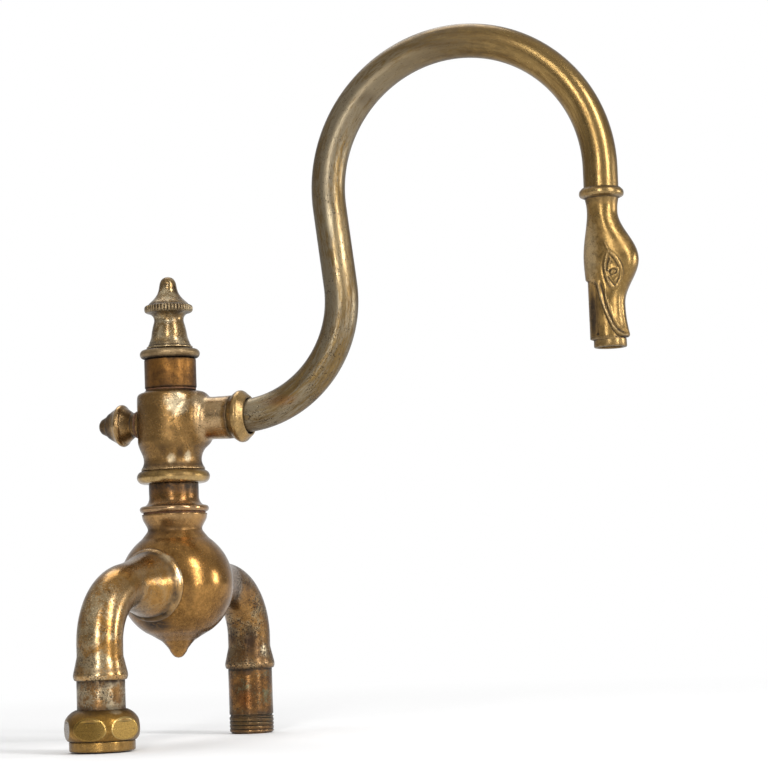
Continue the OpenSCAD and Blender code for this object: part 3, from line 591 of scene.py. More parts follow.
def cast(name, node, voxel, passes, material, body, slot, shape=None):
    """A CAD solid with its edges eased as on an old casting: a copy rebuilt in small cells and smoothed."""
    bm = bmesh.new()
    bm.from_mesh(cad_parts[node].data)
    bmesh.ops.remove_doubles(bm, verts=bm.verts, dist=2e-6)
    mesh = bpy.data.meshes.new(name + "_copy")
    bm.to_mesh(mesh)
    bm.free()
    rough = stand(name + "_copy", mesh)
    cells = rough.modifiers.new("cells", "REMESH")
    cells.mode = "VOXEL"
    cells.voxel_size = voxel * MM
    even = rough.modifiers.new("even", "SMOOTH")
    even.factor = 0.5
    even.iterations = passes
    solid = bpy.data.meshes.new_from_object(rough.evaluated_get(bpy.context.evaluated_depsgraph_get()))
    bpy.data.objects.remove(rough)
    bm = bmesh.new()
    bm.from_mesh(solid)
    for face in bm.faces:
        face.material_index = 0
    bm.verts.index_update()
    if shape:
        move(bm, shape(bm, places(bm)))
    return piece(name, bm, material, body, slot, node)


def uneven(co, depth, size):
    """Slow unevenness of a hand-finished casting, in mm."""
    lift = np.array([noise3(Vector(p) / (size * MM)) for p in co])
    return lift[:, None] * depth * MM


def body_shape(bm, co):
    """Blends the arm's drum into the barrel, as the mould of the real casting did."""
    c, s = math.cos(SWING), math.sin(SWING)
    along_arm = (c * co[:, 0] + s * co[:, 1]) / MM
    across = (-s * co[:, 0] + c * co[:, 1]) / MM
    high = co[:, 2] / MM
    out = np.hypot(co[:, 0], co[:, 1]) / MM
    rho = np.hypot(across, high - ARM_Z)
    drum = step(rho, 8.4, 9.4) * step(rho, 17.5, 15.0)
    drum = drum * step(along_arm, 6.0, 10.0) * step(along_arm, 24.0, 21.0)
    foot = step(high, 112.5, 115.0) * step(high, 125.0, 121.0) * step(out, 10.5, 11.5)
    co = relax(bm, np.clip(drum + 0.7 * foot, 0, 1), 90)
    move(bm, co)
    bm.normal_update()
    normal = np.array([v.normal for v in bm.verts])
    outer = step(np.hypot(co[:, 0], co[:, 1]) / MM, 12.2, 13.2)[:, None]
    return co + normal * outer * uneven(co, 0.35, 9)


def leg_shape(bm, co):
    """Flares the limb towards the ring at the bulb, and softens the flare and the lower collar."""
    flare_from, flare_to, limb_r, flare = 43.0, 23.0, 10.0, 5.3
    along = np.abs(co[:, 1]) / MM
    x, z = co[:, 0] / MM, co[:, 2] / MM - LEG_Z
    rho = np.hypot(x, z)
    t = np.clip((flare_from - along) / (flare_from - flare_to), 0, 1)
    want = limb_r + flare * t ** 1.2
    limb = (rho > 9.6) & (rho < want) & (along > 22.5) & (along < flare_from) & (z > -11.5)
    grow = np.where(limb, want / np.maximum(rho, 1), 1.0)
    co = co.copy()
    co[:, 0] = x * grow * MM
    co[:, 2] = (z * grow + LEG_Z) * MM
    move(bm, co)
    rho = np.hypot(co[:, 0] / MM, co[:, 2] / MM - LEG_Z)
    co = relax(bm, step(rho, 9.6, 10.2) * step(along, 21.5, 23.5) * step(along, 46, 42), 14)
    move(bm, co)
    high = co[:, 2] / MM
    out = np.hypot(co[:, 0] / MM, np.abs(co[:, 1]) / MM - 65)
    return relax(bm, step(high, 17.6, 18.6) * step(high, 27, 24) * step(out, 9.4, 10.2), 16)


PENDANT = [(0, 1.2), (0.4, 2.0), (1.1, 2.8), (2.5, 3.9), (4.3, 4.8), (7.0, 7.1)]   # height, radius


def bulb_shape(bm, co):
    """Eases the line where the pendant grows out of the bulb, and rounds the pendant's end."""
    root = step(co[:, 2] / MM, 33.0, 36.5) * step(co[:, 2] / MM, 43.0, 39.5)
    co = relax(bm, root, 40)
    up = (co[:, 2] - co[:, 2].min()) / MM
    out = np.hypot(co[:, 0], co[:, 1]) / MM
    rows = np.arange(0, 12.5, 0.5)
    now = np.array([out[np.abs(up - row) < 0.4].max() for row in rows])
    want = np.interp(rows, *zip(*PENDANT))
    want = np.where(rows < 9, want + (now - want) * step(rows, 5.5, 9.0), now)
    grow = np.where(up < 12, np.interp(up, rows, want / np.maximum(now, 0.1)), 1.0)
    co[:, :2] *= grow[:, None]
    return co


# Finishes

# Dirt and wear round the ring where a limb meets the bulb, alike on both legs; the wear on the ring also
# stands for a painted highlight
LIMB_RING = ("|Y", [
    (14, 0, 0), (20, 0, 0.2), (23.4, 0, 0.3), (24.6, 0.5, 0.1), (25.6, 0.75, 0), (28.5, 0.15, 0),
    (34, 0, 0), (70, 0, 0)])
leg_skin = brass(
    "pitted_brass_legs", "#ad8247", "#75552c", "#241a10", size=15, pits=0.88, pit_size=0.75,
    rough_side=("Y", -56, -74), nickel=0.5, nickel_size=8, nickel_tone="#b7a684", rough=(0.16, 0.36),
    bands=[LIMB_RING, ("Z", [
        (17.5, 0.9, 0), (18.6, 0.6, 0), (19.6, 0, 0.5), (21.5, 0, 0.3), (23, 0.5, 0.1), (25, 0, 0),
        (60, 0, 0)])],
    spots=[
        # the first spot is painted shade in the recess beside the limb's ring, the next three darken the limb
        # under the ring; the pale spots are painted highlights on the ring
        ("dirt", (14.2, -24.8, 52.5), (3.4, 3.2, 8), 0.95), ("dirt", (8, -24.5, 45.5), (7.5, 4, 4.5), 0.95),
        ("dirt", (-2, -23, 46), (17, 5, 6), 0.95), ("dirt", (-3, -27, 49), (9, 6, 4), 0.4),
        ("pale", (15.6, -23.4, 63.5), (2.4, 2.6, 5), 1), ("pale", (8, -24, 70.5), (6, 3, 3), 0.5),
        ("dirt", (-2.5, -75, 28), (8, 6, 10), 0.45), ("dirt", (-5, -73, 44), (6, 6, 9), 0.3)])
right_leg_skin = brass(
    "stained_brass_legs", "#ac824c", "#664826", "#1f160d", share=0.55, size=13, pits=0.92, nickel=0.32,
    nickel_tone="#a48f6c", rough=(0.12, 0.32),
    bands=[LIMB_RING, ("Z", [
        (17.5, 0.9, 0), (18.6, 0.8, 0), (20.6, 0.2, 0.4), (22.5, 0.4, 0.1), (25, 0.5, 0), (32, 0.3, 0),
        (42, 0, 0), (60, 0, 0)])],
    spots=[
        # the dark spot is a painted dark reflection and the pale spot a painted highlight
        ("dark", (5.3, 56.5, 33), (4.5, 4, 9), 0.75), ("dirt", (-3, 56, 34), (4, 5, 8), 0.6),
        ("dirt", (0, 53, 47), (9, 6, 5), 0.4), ("pale", (9.5, 62, 27), (2, 3, 4), 0.8)])
body_skin = brass(
    "dull_brass_body", "#9f7947", "#70552f", "#22170c", share=0.66, size=15, pits=0.5, pit_size=0.5,
    rough=(0.17, 0.34), mottle=0.2, grain=1.1,
    bands=[("X", [
        (8, 0, 0), (16.5, 0, 0), (19, 0, 0.85), (28, 0, 0.85), (29.6, 0.2, 0), (30.4, 0.8, 0)]), ("Z", [
        (104, 0, 0.4), (109.6, 0, 0.4), (111.6, 0.1, 0.4), (113, 0.65, 0), (115, 0.1, 0), (119.5, 0, 0),
        (121, 0.2, 0), (123, 0, 0), (146, 0, 0), (147.2, 0.4, 0), (148, 0.9, 0)])],
    spots=[
        # painted light: the pale spots are painted highlights, the dark spots painted dark reflections round
        # the lower two, and the rust spot a painted orange reflection under the arm
        ("pale", (10.5, -12.5, 140.5), (6.8, 6.8, 7.4), 0.8), ("pale", (17.5, -6, 141), (5, 6, 5), 0.3),
        ("pale", (6.2, -11.6, 115.6), (2.6, 2.6, 3.2), 0.55),
        ("pale", (11.9, -6.2, 116.4), (2.4, 2.4, 3.4), 0.7),
        ("dark", (9.5, -9.5, 118.6), (2.4, 2.4, 5.5), 0.6), ("dark", (3, -13.2, 120), (2.6, 2.6, 5), 0.45),
        ("dark", (15, -3.5, 119), (2.4, 2.4, 4), 0.4), ("rust", (21.5, -2.5, 125.4), (5, 3, 1.6), 0.7)])
knob_skin = brass(
    "pitted_brass_knob", "#aa8c5d", "#5f4b31", "#22180e", size=9, pits=0.6, pit_size=0.55, nickel=0.4,
    nickel_size=6, nickel_tone="#b9a98a", rough=(0.16, 0.34),
    bands=[("Z", [
        (166, 0.6, 0), (167.4, 0, 0.3), (167.9, 0.75, 0), (168.6, 0.1, 0.4), (169.2, 0.6, 0),
        (170.2, 0, 0.1), (180, 0.1, 0), (182.4, 0.5, 0), (183.4, 0.5, 0), (186.6, 0.5, 0), (187.4, 0.3, 0),
        (188, 0.05, 0), (198, 0, 0), (200, 0.5, 0)])],
    spots=[
        # the dark spots are painted dark reflections and the pale spots painted highlights
        ("dark", (4.1, -0.7, 192), (2, 2, 7), 0.7), ("pale", (0.4, -4, 191), (1.7, 1.7, 6), 0.55),
        ("dark", (3, -7.6, 177), (3, 3, 5), 0.35), ("pale", (0.5, -7.5, 173), (2.2, 2.2, 5), 0.5)])
flange_skin = brass(
    "gland_brass", "#b3986f", "#776040", "#1d140b", share=0.55, size=9, pits=0.25, rough=(0.3, 0.46),
    bands=[("Z", [
        (161, 1, 0), (162.2, 0.95, 0), (163.2, 0.2, 0.1), (165.4, 0, 0.2), (166.2, 0.6, 0), (167, 1, 0)])])
bonnet_skin = brass(
    "orange_brass_bonnet", "#8c6231", "#573a19", "#1c120a", share=0.55, size=12, pits=0.3, pit_size=0.6,
    rough=(0.38, 0.5),
    bands=[("Z", [
        (147, 1, 0), (148.6, 0.8, 0), (149.6, 0.1, 0), (160, 0, 0), (161, 0.3, 0), (161.6, 1, 0)])])
ring_skin = brass(
    "swivel_ring_brass", "#b59357", "#705731", "#21160b", share=0.42, size=14, pits=0.15, rough=(0.18, 0.36),
    bands=[("Z", [
        (99, 1, 0), (101.4, 0.8, 0), (102.4, 0, 0.6), (107, 0, 0.4), (108, 0.4, 0)])])
post_skin = brass(
    "dark_polished_post", "#a5743f", "#513c1d", "#1a120a", share=0.55, size=12, pits=0.2, rough=(0.12, 0.28),
    bands=[("Z", [
        (91, 0.8, 0), (92.2, 0.1, 0.7), (95, 0, 0.9), (96.8, 0.2, 0.1), (99, 0.2, 0), (101, 0.6, 0),
        (103, 0.9, 0)])])
bulb_skin = brass(
    "bulb_brass", "#ae8249", "#6b4b22", "#25190d", pits=0.3, pit_size=0.6, rough=(0.16, 0.3), grain=0.2,
    mottle=0.25,
    bands=[("Z", [
        (26, 0.1, 0), (30, 0, 0.1), (36, 0.1, 0), (60, 0, 0), (76, 0, 0), (80, 0.2, 0), (84.4, 0.55, 0),
        (86.5, 0.1, 0.2), (90, 0, 0.4), (91, 0.5, 0)])],
    spots=[
        # darker under the ring where the left limb meets the bulb
        ("dirt", (0, -18.6, 41.5), (12, 8, 6), 1), ("dark", (17.5, -18, 54), (3.4, 3.4, 10), 0.35)])
tail_skin = brass(
    "tail_brass", "#997448", "#604426", "#20160d", size=10, pits=0.7, pit_size=0.7, nickel=0.5,
    nickel_size=5, nickel_tone="#a89a7e", rough=(0.18, 0.38),
    bands=[("Z", [
        (0, 0.2, 0), (7, 0.7, 0), (9, 0.2, 0), (15, 0, 0), (17, 0.5, 0), (18.4, 0.9, 0)])])
thread_skin = brass(
    "dark_tail_brass", "#a57641", "#593e23", "#1f170d", share=0.6, size=11, pits=0.55, pit_size=0.7,
    nickel=0.2, nickel_size=6, nickel_tone="#6f6f56", rough=(0.1, 0.3),
    bands=[("Z", [
        (-12, 0.35, 0), (-8, 0.45, 0), (-4, 0.6, 0), (-2.6, 0.75, 0), (0, 0.25, 0), (4, 0, 0), (14, 0.1, 0),
        (17.4, 0.5, 0), (18.4, 0.95, 0)])],
    spots=[
        ("rust", (2.4, 55, 4.5), (5, 4, 6), 0.6), ("green", (0, 60, -6.5), (14, 12, 5), 0.55)])
nut_skin = brass(
    "nut_brass", "#a67d3a", "#6f5221", "#2a1d0e", size=14, rough=(0.22, 0.38), rings=0.9, flats=True,
    bands=[("Z", [
        (-12, 0.1, 0.3), (-7.4, 0, 0.2), (-6.7, 0.4, 0), (-5.8, 0, 0.1), (2, 0, 0), (4.4, 0.3, 0),
        (6.6, 0.8, 0)])],
    spots=[
        # painted light: the dark spot is painted shade on the nut's top and the pale spot a painted highlight
        ("dark", (4, -77, 5.6), (8, 8, 2.4), 0.4), ("pale", (11, -71, 5.4), (3.2, 4, 1.4), 0.5)])
neck_skin = brass(
    "spout_tube_brass", "#9b7f4f", "#6a5635", "#281d0f", dull_side=("X", 125, 190, 0.82, 0.3), size=16,
    pits=0.75, pit_size=0.65, rough=(0.22, 0.46), nickel=0.56, nickel_size=15, nickel_tone="#897e69",
    mottle=0.45, nickel_side=("X", 170, 80), rough_side=("X", 125, 60), streak=0.6, rings=0,
    place="tube_place",
    spots=[
        # the second pale spot is a painted highlight on the tube
        ("pale", (46, 1, 139.5), (12, 12, 8), 0.25), ("pale", (82.5, 2, 219), (2.4, 6, 9), 0.4),
        ("wear", (87, 4.5, 205), (4.5, 9, 30), 0.8), ("rust", (58, -2, 139), (16, 6, 4), 0.45),
        ("dark", (103, 6, 271), (9, 9, 5), 0.35), ("rust", (92, 4, 160), (6, 9, 14), 0.3),
        ("dark", (135, 8, 292), (20, 9, 3), 0.35)])
head_skin = brass(
    "cast_head_brass", "#8e7345", "#a38149", "#2a1e0e", dull_side=("X", 197, 207, 0.75, 0.25), size=12,
    pits=0.8, pit_size=0.5, rough=(0.25, 0.42), mottle=0.45, metal=(0.95, 0.5), rough_side=("X", 208, 196),
    bands=[("Z", [
        (152.8, 0.5, 0), (156.4, 0.1, 0.2), (156.9, 0.7, 0), (158.4, 0.1, 0), (170, 0, 0), (214, 0, 0),
        (217.2, 0.5, 0), (218.6, 0, 0.3), (221, 0, 0.2), (222.4, 0.8, 0)])],
    spots=[
        # the dirt and dark spots are painted shade in the flute beside the nozzle
        ("dirt", (198.7, 22, 167), (2.3, 6, 15), 1), ("dark", (198.6, 22, 167), (2.6, 6, 15), 0.7),
        ("pale", (198, 20, 195), (6, 9, 20), 0.35)])
plug_skin = brass(
    "plug_brass", "#9e7945", "#584021", "#1c140b", size=9, pits=0.2, rough=(0.16, 0.34), turn=ARM_TURN,
    bands=[("X", [
        (-36, 0.9, 0), (-33, 0.85, 0), (-29, 0.7, 0), (-25.5, 0, 0.9), (-23.5, 0, 0.3), (-19, 0.2, 0),
        (-16.5, 0.9, 0)])])
ferrule_skin = brass(
    "ferrule_brass", "#b08c52", "#6f562d", "#22180c", size=8, pits=0.3, pit_size=0.6, rough=(0.22, 0.4),
    turn=ARM_TURN,
    bands=[("X", [
        (29.6, 1, 0), (30.8, 0.5, 0), (32, 0, 0.2), (36, 0, 0.3), (38, 0, 0.3), (39, 0.7, 0)])])
inner_skin = brass(
    "inner_brass", "#c7a261", "#99763f", "#4a3820", share=0.4, size=8, rough=(0.25, 0.4))
steel_skin = brass(
    "screw_steel", "#8d8a84", "#5f5a52", "#2b2620", size=3, rough=(0.25, 0.45))
leather = soft("leather_washer", "#6b4526", "#4a2f1a")
cord_pack = soft("greased_packing", "#8c7f66", "#5f553f", size=1.2, weave=1.0)
rubber = soft("black_rubber", "#2a2725", "#191716", rough=0.65)

finish = {
    "mixing_bulb": bulb_skin, "left_leg": leg_skin, "right_leg": right_leg_skin, "left_tail": tail_skin,
    "right_tail": thread_skin, "left_tail_collar": tail_skin, "union_washer": leather, "union_nut": nut_skin,
    "swivel_post": post_skin, "post_washer": leather, "valve_seat": inner_skin, "swivel_body": body_skin,
    "swivel_nut": ring_skin, "swivel_packing": cord_pack, "side_plug": plug_skin, "side_plug_washer": leather,
    "bonnet": bonnet_skin, "bonnet_washer": leather, "gland_nut": flange_skin, "gland_packing": cord_pack,
    "spout_ferrule": ferrule_skin, "swan_neck": neck_skin, "swan_head": head_skin, "jumper_valve": inner_skin,
    "valve_washer": rubber, "washer_nut": inner_skin, "spindle": inner_skin, "knob": knob_skin,
    "knob_screw": steel_skin,
}
for node, material in finish.items():
    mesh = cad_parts[node].data
    mesh.materials.clear()
    mesh.materials.append(material)


# Swan neck

def bend_tube():
    """A circle drawn along the arm, spun round the low bend, drawn back, spun over the bow and drawn down."""
    low = Vector((BEND_START, 0, ARM_Z + LOW_BEND))
    high = Vector((REACH - HIGH_BEND, 0, HIGH_Z))
    apart = (high - low).length
    run = math.sqrt(apart ** 2 - (LOW_BEND + HIGH_BEND) ** 2)
    rise = math.atan2(high.z - low.z, high.x - low.x) + math.atan2(LOW_BEND + HIGH_BEND, run)
    sides = 96
    slide = 0.16                 # how much of the way along the tube its pattern keeps, so that it streaks
    bm = bmesh.new()
    start = Matrix.Translation((TUBE_START, 0, ARM_Z)) @ Matrix.Rotation(math.pi / 2, 4, "Y")
    bmesh.ops.create_circle(bm, segments=sides, radius=TUBE_R, matrix=start)
    rows = [0.0]
    last = list(bm.edges)

    def onward(length):
        """Draws a new ring of edges out of the last one, and gives back its vertices."""
        nonlocal last
        out = bmesh.ops.extrude_edge_only(bm, edges=last)["geom"]
        last = [g for g in out if isinstance(g, bmesh.types.BMEdge)]
        rows.append(rows[-1] + length)
        return [g for g in out if isinstance(g, bmesh.types.BMVert)]

    def draw(way, steps):
        for _ in range(steps):
            bmesh.ops.translate(bm, vec=way / steps, verts=onward(way.length / steps))

    def turn(centre, radius, angle, steps):
        for _ in range(steps):
            bmesh.ops.rotate(bm, cent=centre, matrix=Matrix.Rotation(angle / steps, 3, "Y"),
                             verts=onward(abs(angle) * radius / steps))

    draw(Vector((BEND_START - TUBE_START, 0, 0)), 4)
    turn(low, LOW_BEND, -rise, 44)
    draw(Vector((math.cos(rise), 0, math.sin(rise))) * run, 8)
    turn(high, HIGH_BEND, rise + math.pi / 2, 90)
    draw(Vector((0, 0, BEAD_Z + 1 - HIGH_Z)), 6)
    bm.verts.ensure_lookup_table()
    around = []
    for k in range(len(bm.verts)):
        row, side = divmod(k, sides)
        a = math.tau * side / sides
        around.append((math.cos(a) * TUBE_R * MM, math.sin(a) * TUBE_R * MM, rows[row] * slide * MM))
    move(bm, swung([v.co for v in bm.verts]))
    made = piece("swan_neck_tube", bm, neck_skin, "swivel", "nickel_worn_brass", "swan_neck")
    mark = made.data.attributes.new("tube_place", "FLOAT_VECTOR", "POINT")
    mark.data.foreach_set("vector", np.array(around, np.float32).ravel())
    wall = made.modifiers.new("wall", "SOLIDIFY")
    wall.thickness = TUBE_WALL * MM
    wall.offset = -1
    return made


# Swan head: heights are in mm above the outlet, angles in degrees from the front, alike on both sides

SKULL_Z = HEAD_L - 0.415 * HEAD_L
THROAT_Z = HEAD_L - 0.09 * HEAD_L
BILL_ROOT_Z = 0.28 * HEAD_L
BILL_TIP_Z = 0.065 * HEAD_L
NAPE_Z = 66.0
THROAT_R, NOZZLE_R, BORE_R = 6.6, 7.6, 5.4
BILL_STEP = 0.6                  # how far the bill stands out over the nozzle
SKULL_DEEP, SKULL_WIDE, BILL_DEEP = 12.0, 8.8, 10.0
SKULL_AHEAD = 3.0
SKIN_TOP, SKIN_FOOT, SKIN_STEP = 64.9, 3.9, 0.25
SIDE_R = 8.6                     # the radius at which an angle is measured as a length
INNER_LID = 0.62                 # size of the inner lid as a share of the outer one
FLUTE_AT, CREASE_AT = 117, 26    # angles of the nozzle's flute and of the fold in the bill
BILL_EDGE = np.array([
    (0, 3.9), (9, 3.9), (32, 3.9), (47, 5.1), (61, 7.4), (72, 10.5), (82, 13.9), (91, 17.6),
    (100, 21.3), (107, 24.4), (112, 26.6), (118, 28.4), (126, 29.0), (180, 29.0)], float)
BROW = [(86, 60), (77, 55.8), (75, 52.1), (70, 48.5), (63, 45.6), (53, 43.4), (41, 40.5), (33, 35.5),
        (33, 29), (38, 24)]
TUFT = [(90, 44.6), (84, 40.6)]
EYE = [(84, 41.4), (91, 38.4), (95, 35.0), (90, 30.6), (76, 26.8), (56, 24.2), (47, 27.6), (54, 32.4),
       (68, 36.4)]
EYE_CENTRE = np.array((74.0, 31.6))
NECK_BEAD = [(7.62, 69.3), (8.1, 69.5), (8.5, 69.3), (8.75, 68.9), (9.2, 68.6), (9.55, 68.0), (9.68, 67.2),
             (9.6, 66.4), (9.2, 65.8), (8.5, 65.45), (7.9, 65.2)]
NOZZLE_END = [(NOZZLE_R, 3.75), (7.55, 3.5), (7.15, 3.3), (7.1, 3.0), (7.1, 0.4), (6.9, 0.08), (6.6, 0),
              (5.7, 0), (5.45, 0.2), (BORE_R, 0.5), (BORE_R, 12)]
HEAD_BORE = [(4.8, 12.3), (4.8, 65.7), (7.62, 65.7), (7.62, 69.3)]


def line_gap(s, h, points, closed=False):
    """Distance in mm from each place (length round the side, height) to a line of (angle, height) points."""
    p = [(math.radians(a) * SIDE_R, z) for a, z in points]
    if closed:
        p = p + p[:1]
    best = np.full(s.shape, 1e9)
    for (x0, y0), (x1, y1) in zip(p, p[1:]):
        dx, dy = x1 - x0, y1 - y0
        t = np.clip(((s - x0) * dx + (h - y0) * dy) / (dx * dx + dy * dy), 0, 1)
        best = np.minimum(best, np.hypot(s - x0 - t * dx, h - y0 - t * dy))
    return best


def rounded(points, times=2):
    """Cuts the corners of a closed line."""
    p = [np.array(q, float) for q in points]
    for _ in range(times):
        q = []
        for a, b in zip(p, p[1:] + p[:1]):
            q += [a * 0.75 + b * 0.25, a * 0.25 + b * 0.75]
        p = q
    return p


def head_form(h, a):
    """The form before it is carved: how far it is set forward, how deep it is at the angle, and how wide."""
    above = np.clip((h - SKULL_Z) / (THROAT_Z - SKULL_Z), 0, 1)
    below = np.clip((SKULL_Z - h) / (SKULL_Z - BILL_ROOT_Z), 0, 1)
    swell = (1 + np.cos(np.pi * np.where(h > SKULL_Z, above, below))) / 2
    down = np.clip((THROAT_Z - h) / (THROAT_Z - BILL_ROOT_Z), 0, 1)
    core = THROAT_R + (NOZZLE_R + BILL_STEP - THROAT_R) * down + 0.75 * hump(h - NAPE_Z, 3.2)
    curl = np.maximum(0, (BILL_ROOT_Z - h) / (BILL_ROOT_Z - BILL_TIP_Z)) ** 2
    front = (BILL_DEEP - core) * curl * np.maximum(0, np.cos(a)) ** 4
    deep = core + (SKULL_DEEP - core) * swell + front
    return SKULL_AHEAD * swell, deep, core + (SKULL_WIDE - core) * swell


def eye_relief(s, h):
    """The eye: a hollow with an outer and an inner lid, and a ball with a ring round it."""
    outer = rounded(EYE)
    inner = [EYE_CENTRE + (p - EYE_CENTRE) * INNER_LID for p in outer]
    rim, lid = line_gap(s, h, outer, True), line_gap(s, h, inner, True)
    across, up = s - math.radians(EYE_CENTRE[0]) * SIDE_R, h - EYE_CENTRE[1]
    far = np.hypot(across, up)
    hollow = step(np.hypot(across * 1.6, up), 10.5, 4.0)
    lids = 0.36 * hump(rim, 0.42) + 0.3 * hump(lid, 0.36) - 0.16 * hump(rim - 0.95, 0.45) * hollow
    ball = 0.38 * hump(far, 1.1) - 0.32 * hump(far - 1.2, 0.34) + 0.2 * hump(far - 1.85, 0.3)
    pupil = 0.24 * hump(far, 0.4)
    return lids + ball - pupil - 0.42 * hollow


def bill_relief(turn, s, h):
    """The bill's raised lip and the grooves beside it, and how far the bill covers the nozzle."""
    at, edge_z = BILL_EDGE.T
    edge = np.interp(turn, at, edge_z)
    slope = np.interp(turn + 1.5, at, edge_z) - np.interp(turn - 1.5, at, edge_z)
    slope = slope / (math.radians(3) * SIDE_R)
    gap = (h - edge) / np.sqrt(1 + slope ** 2)
    thick = 0.35 + 1.1 * step(turn, 62, 30)
    cover = np.sqrt(np.clip(1 - (1 - np.clip(gap / thick, 0, 1)) ** 2, 0, 1))
    along = step(turn, 118, 100)
    side = along * step(turn, 14, 34)
    lift = 0.42 * hump(gap - 0.75, 0.55) * along * step(turn, 8, 24)
    lift -= 0.45 * hump(gap - 2.1, 0.62) * side * step(h, 30, 22)
    lift += 0.16 * hump(gap - 3.4, 0.7) * side * step(h, 28, 20)
    lift -= 0.25 * hump(s - math.radians(CREASE_AT) * SIDE_R, 0.9) * step(h, 27, 20) * step(h, 5, 9)
    return lift, cover


def head_surface(h, a):
    """Offsets from the head's axis (forward, sideways) of the carved skin at height h above the outlet."""
    ahead, deep, wide = head_form(h, a)
    turn = np.degrees(np.abs(a))
    s = np.radians(turn) * SIDE_R
    brow = 0.13 * hump(line_gap(s, h, BROW), 2.2) * step(h, 24, 30) * step(h, 60, 54)
    tuft = 0.26 * hump(line_gap(s, h, TUFT), 0.42)
    bill, cover = bill_relief(turn, s, h)
    lift = brow + tuft + eye_relief(s, h) + bill
    x = ahead + (deep + lift) * np.cos(a)
    y = (wide + lift) * np.sin(a)
    flute = hump(s - math.radians(FLUTE_AT) * SIDE_R, 2.2) * step(h, 28.6, 27.2) * step(h, 3.8, 5.5)
    plain = NOZZLE_R - 1.15 * flute
    nozzle_x, nozzle_y = plain * np.cos(a), plain * np.sin(a)
    return nozzle_x + (x - nozzle_x) * cover, nozzle_y + (y - nozzle_y) * cover


def carve_head():
    skin_z = np.arange(SKIN_TOP, SKIN_FOOT, -SKIN_STEP)
    bead, end, bore = eased(NECK_BEAD, 0.25), straight(NOZZLE_END, 0.4), straight(HEAD_BORE, 3.0)
    before, rows = len(bead), len(skin_z)
    radius = np.concatenate([bead[:, 0], np.zeros(rows), end[:, 0], bore[:, 0]])
    height = np.concatenate([bead[:, 1], skin_z, end[:, 1], bore[:, 1]])
    forward = np.clip((3.75 - end[:, 1]) / 0.5, 0, 1)
    ahead = np.concatenate([np.zeros(before + rows), forward, np.zeros(len(bore))])

    def place(ring, angle):
        h = height[ring]
        angle = angle + 0.2 * np.sin(2 * angle)     # more of the mesh goes to the sides, where the eyes are
        x = radius[ring] * np.cos(angle) + ahead[ring]
        y = radius[ring] * np.sin(angle)
        skin = (ring >= before) & (ring < before + rows)
        x[skin], y[skin] = head_surface(h[skin], angle[skin])
        return swung(np.stack([REACH + x, y, HEAD_Z + h], 1))

    bm = wound(len(height), 270, place)
    bm.verts.index_update()
    rise = places(bm)[:, 2] / MM - HEAD_Z
    move(bm, relax(bm, step(rise, 4.4, 5.0) * step(rise, 64.5, 63.5), 3))
    return piece("swan_head_carved", bm, head_skin, "swivel", "aged_brass", "swan_head")


# Knob: outlines are (radius, height above the knob's foot)

KNOB_OUTSIDE = [
    (10.1, 0.0), (10.42, 0.12), (10.5, 0.45), (10.45, 0.85), (10.1, 1.05), (9.7, 1.2), (9.62, 1.4),
    (9.72, 1.62), (9.6, 1.85), (9.36, 2.0), (9.42, 2.2), (9.36, 2.4), (9.16, 2.52), (9.2, 2.75), (8.95, 3.4),
    (8.6, 4.4), (8.3, 5.4), (8.08, 6.8), (7.8, 8.4), (7.4, 10.2), (6.98, 11.7), (6.78, 12.6), (6.74, 13.3),
    (6.9, 14.3), (7.4, 15.2), (8.2, 15.9), (9.2, 16.35), (10.15, 16.62), (10.75, 17.05), (11.0, 17.6),
    (11.05, 18.3), (11.0, 19.0), (10.75, 19.55), (10.2, 19.9), (9.6, 20.1), (9.25, 20.35), (8.6, 21.1),
    (7.4, 22.2), (6.25, 23.4), (5.3, 24.7), (4.65, 26.0), (4.2, 27.5), (3.95, 28.8), (3.8, 29.6),
    (3.58, 30.5), (3.1, 31.5), (2.4, 32.3), (1.5, 32.82), (0.7, 33.05), (0.0, 33.1)]
KNOB_INSIDE = [(0.0, 13.0), (4.7, 13.0), (4.7, 2.1), (5.1, 2.0), (5.1, 0.0), (10.1, 0.0)]
KNOB_TEETH = 44
KNOB_RIM = 18.3                  # height of the milled rim's middle
TOOTH_DEEP = 0.75
SCREW_HEAD_R, SCREW_HEAD_Z, SCREW_SEAT = 1.75, 5.0, 6.4


def turn_knob():
    inside = straight(KNOB_INSIDE, 1.2)
    shape = np.vstack([inside[:-1], eased(KNOB_OUTSIDE, 0.2)])

    def place(ring, angle):
        r, h = shape[ring, 0].copy(), shape[ring, 1]
        outside = ring >= len(inside) - 1
        milled = step(np.abs(h - KNOB_RIM), 1.75, 1.2) * outside * step(r, 10.0, 10.5)
        notch = np.abs(((angle * KNOB_TEETH / math.tau) % 1) - 0.5) * 2
        r = r - TOOTH_DEEP * milled * step(notch, 0.5, 0.05)
        x, y = r * np.cos(angle), r * np.sin(angle)
        screw = np.hypot(x, h - SCREW_HEAD_Z)
        sunk = (screw < SCREW_HEAD_R) & (y > 0) & outside
        seat = SCREW_SEAT + (y - SCREW_SEAT) * step(screw, 1.5, SCREW_HEAD_R)
        y = np.where(sunk, np.minimum(y, seat), y)
        return swung(np.stack([x, y, KNOB_Z + h], 1))

    bm = wound(len(shape), 352, place)
    return piece("knob_milled", bm, knob_skin, "spindle", "pitted_brass", "knob", blur=0)


# Union nut

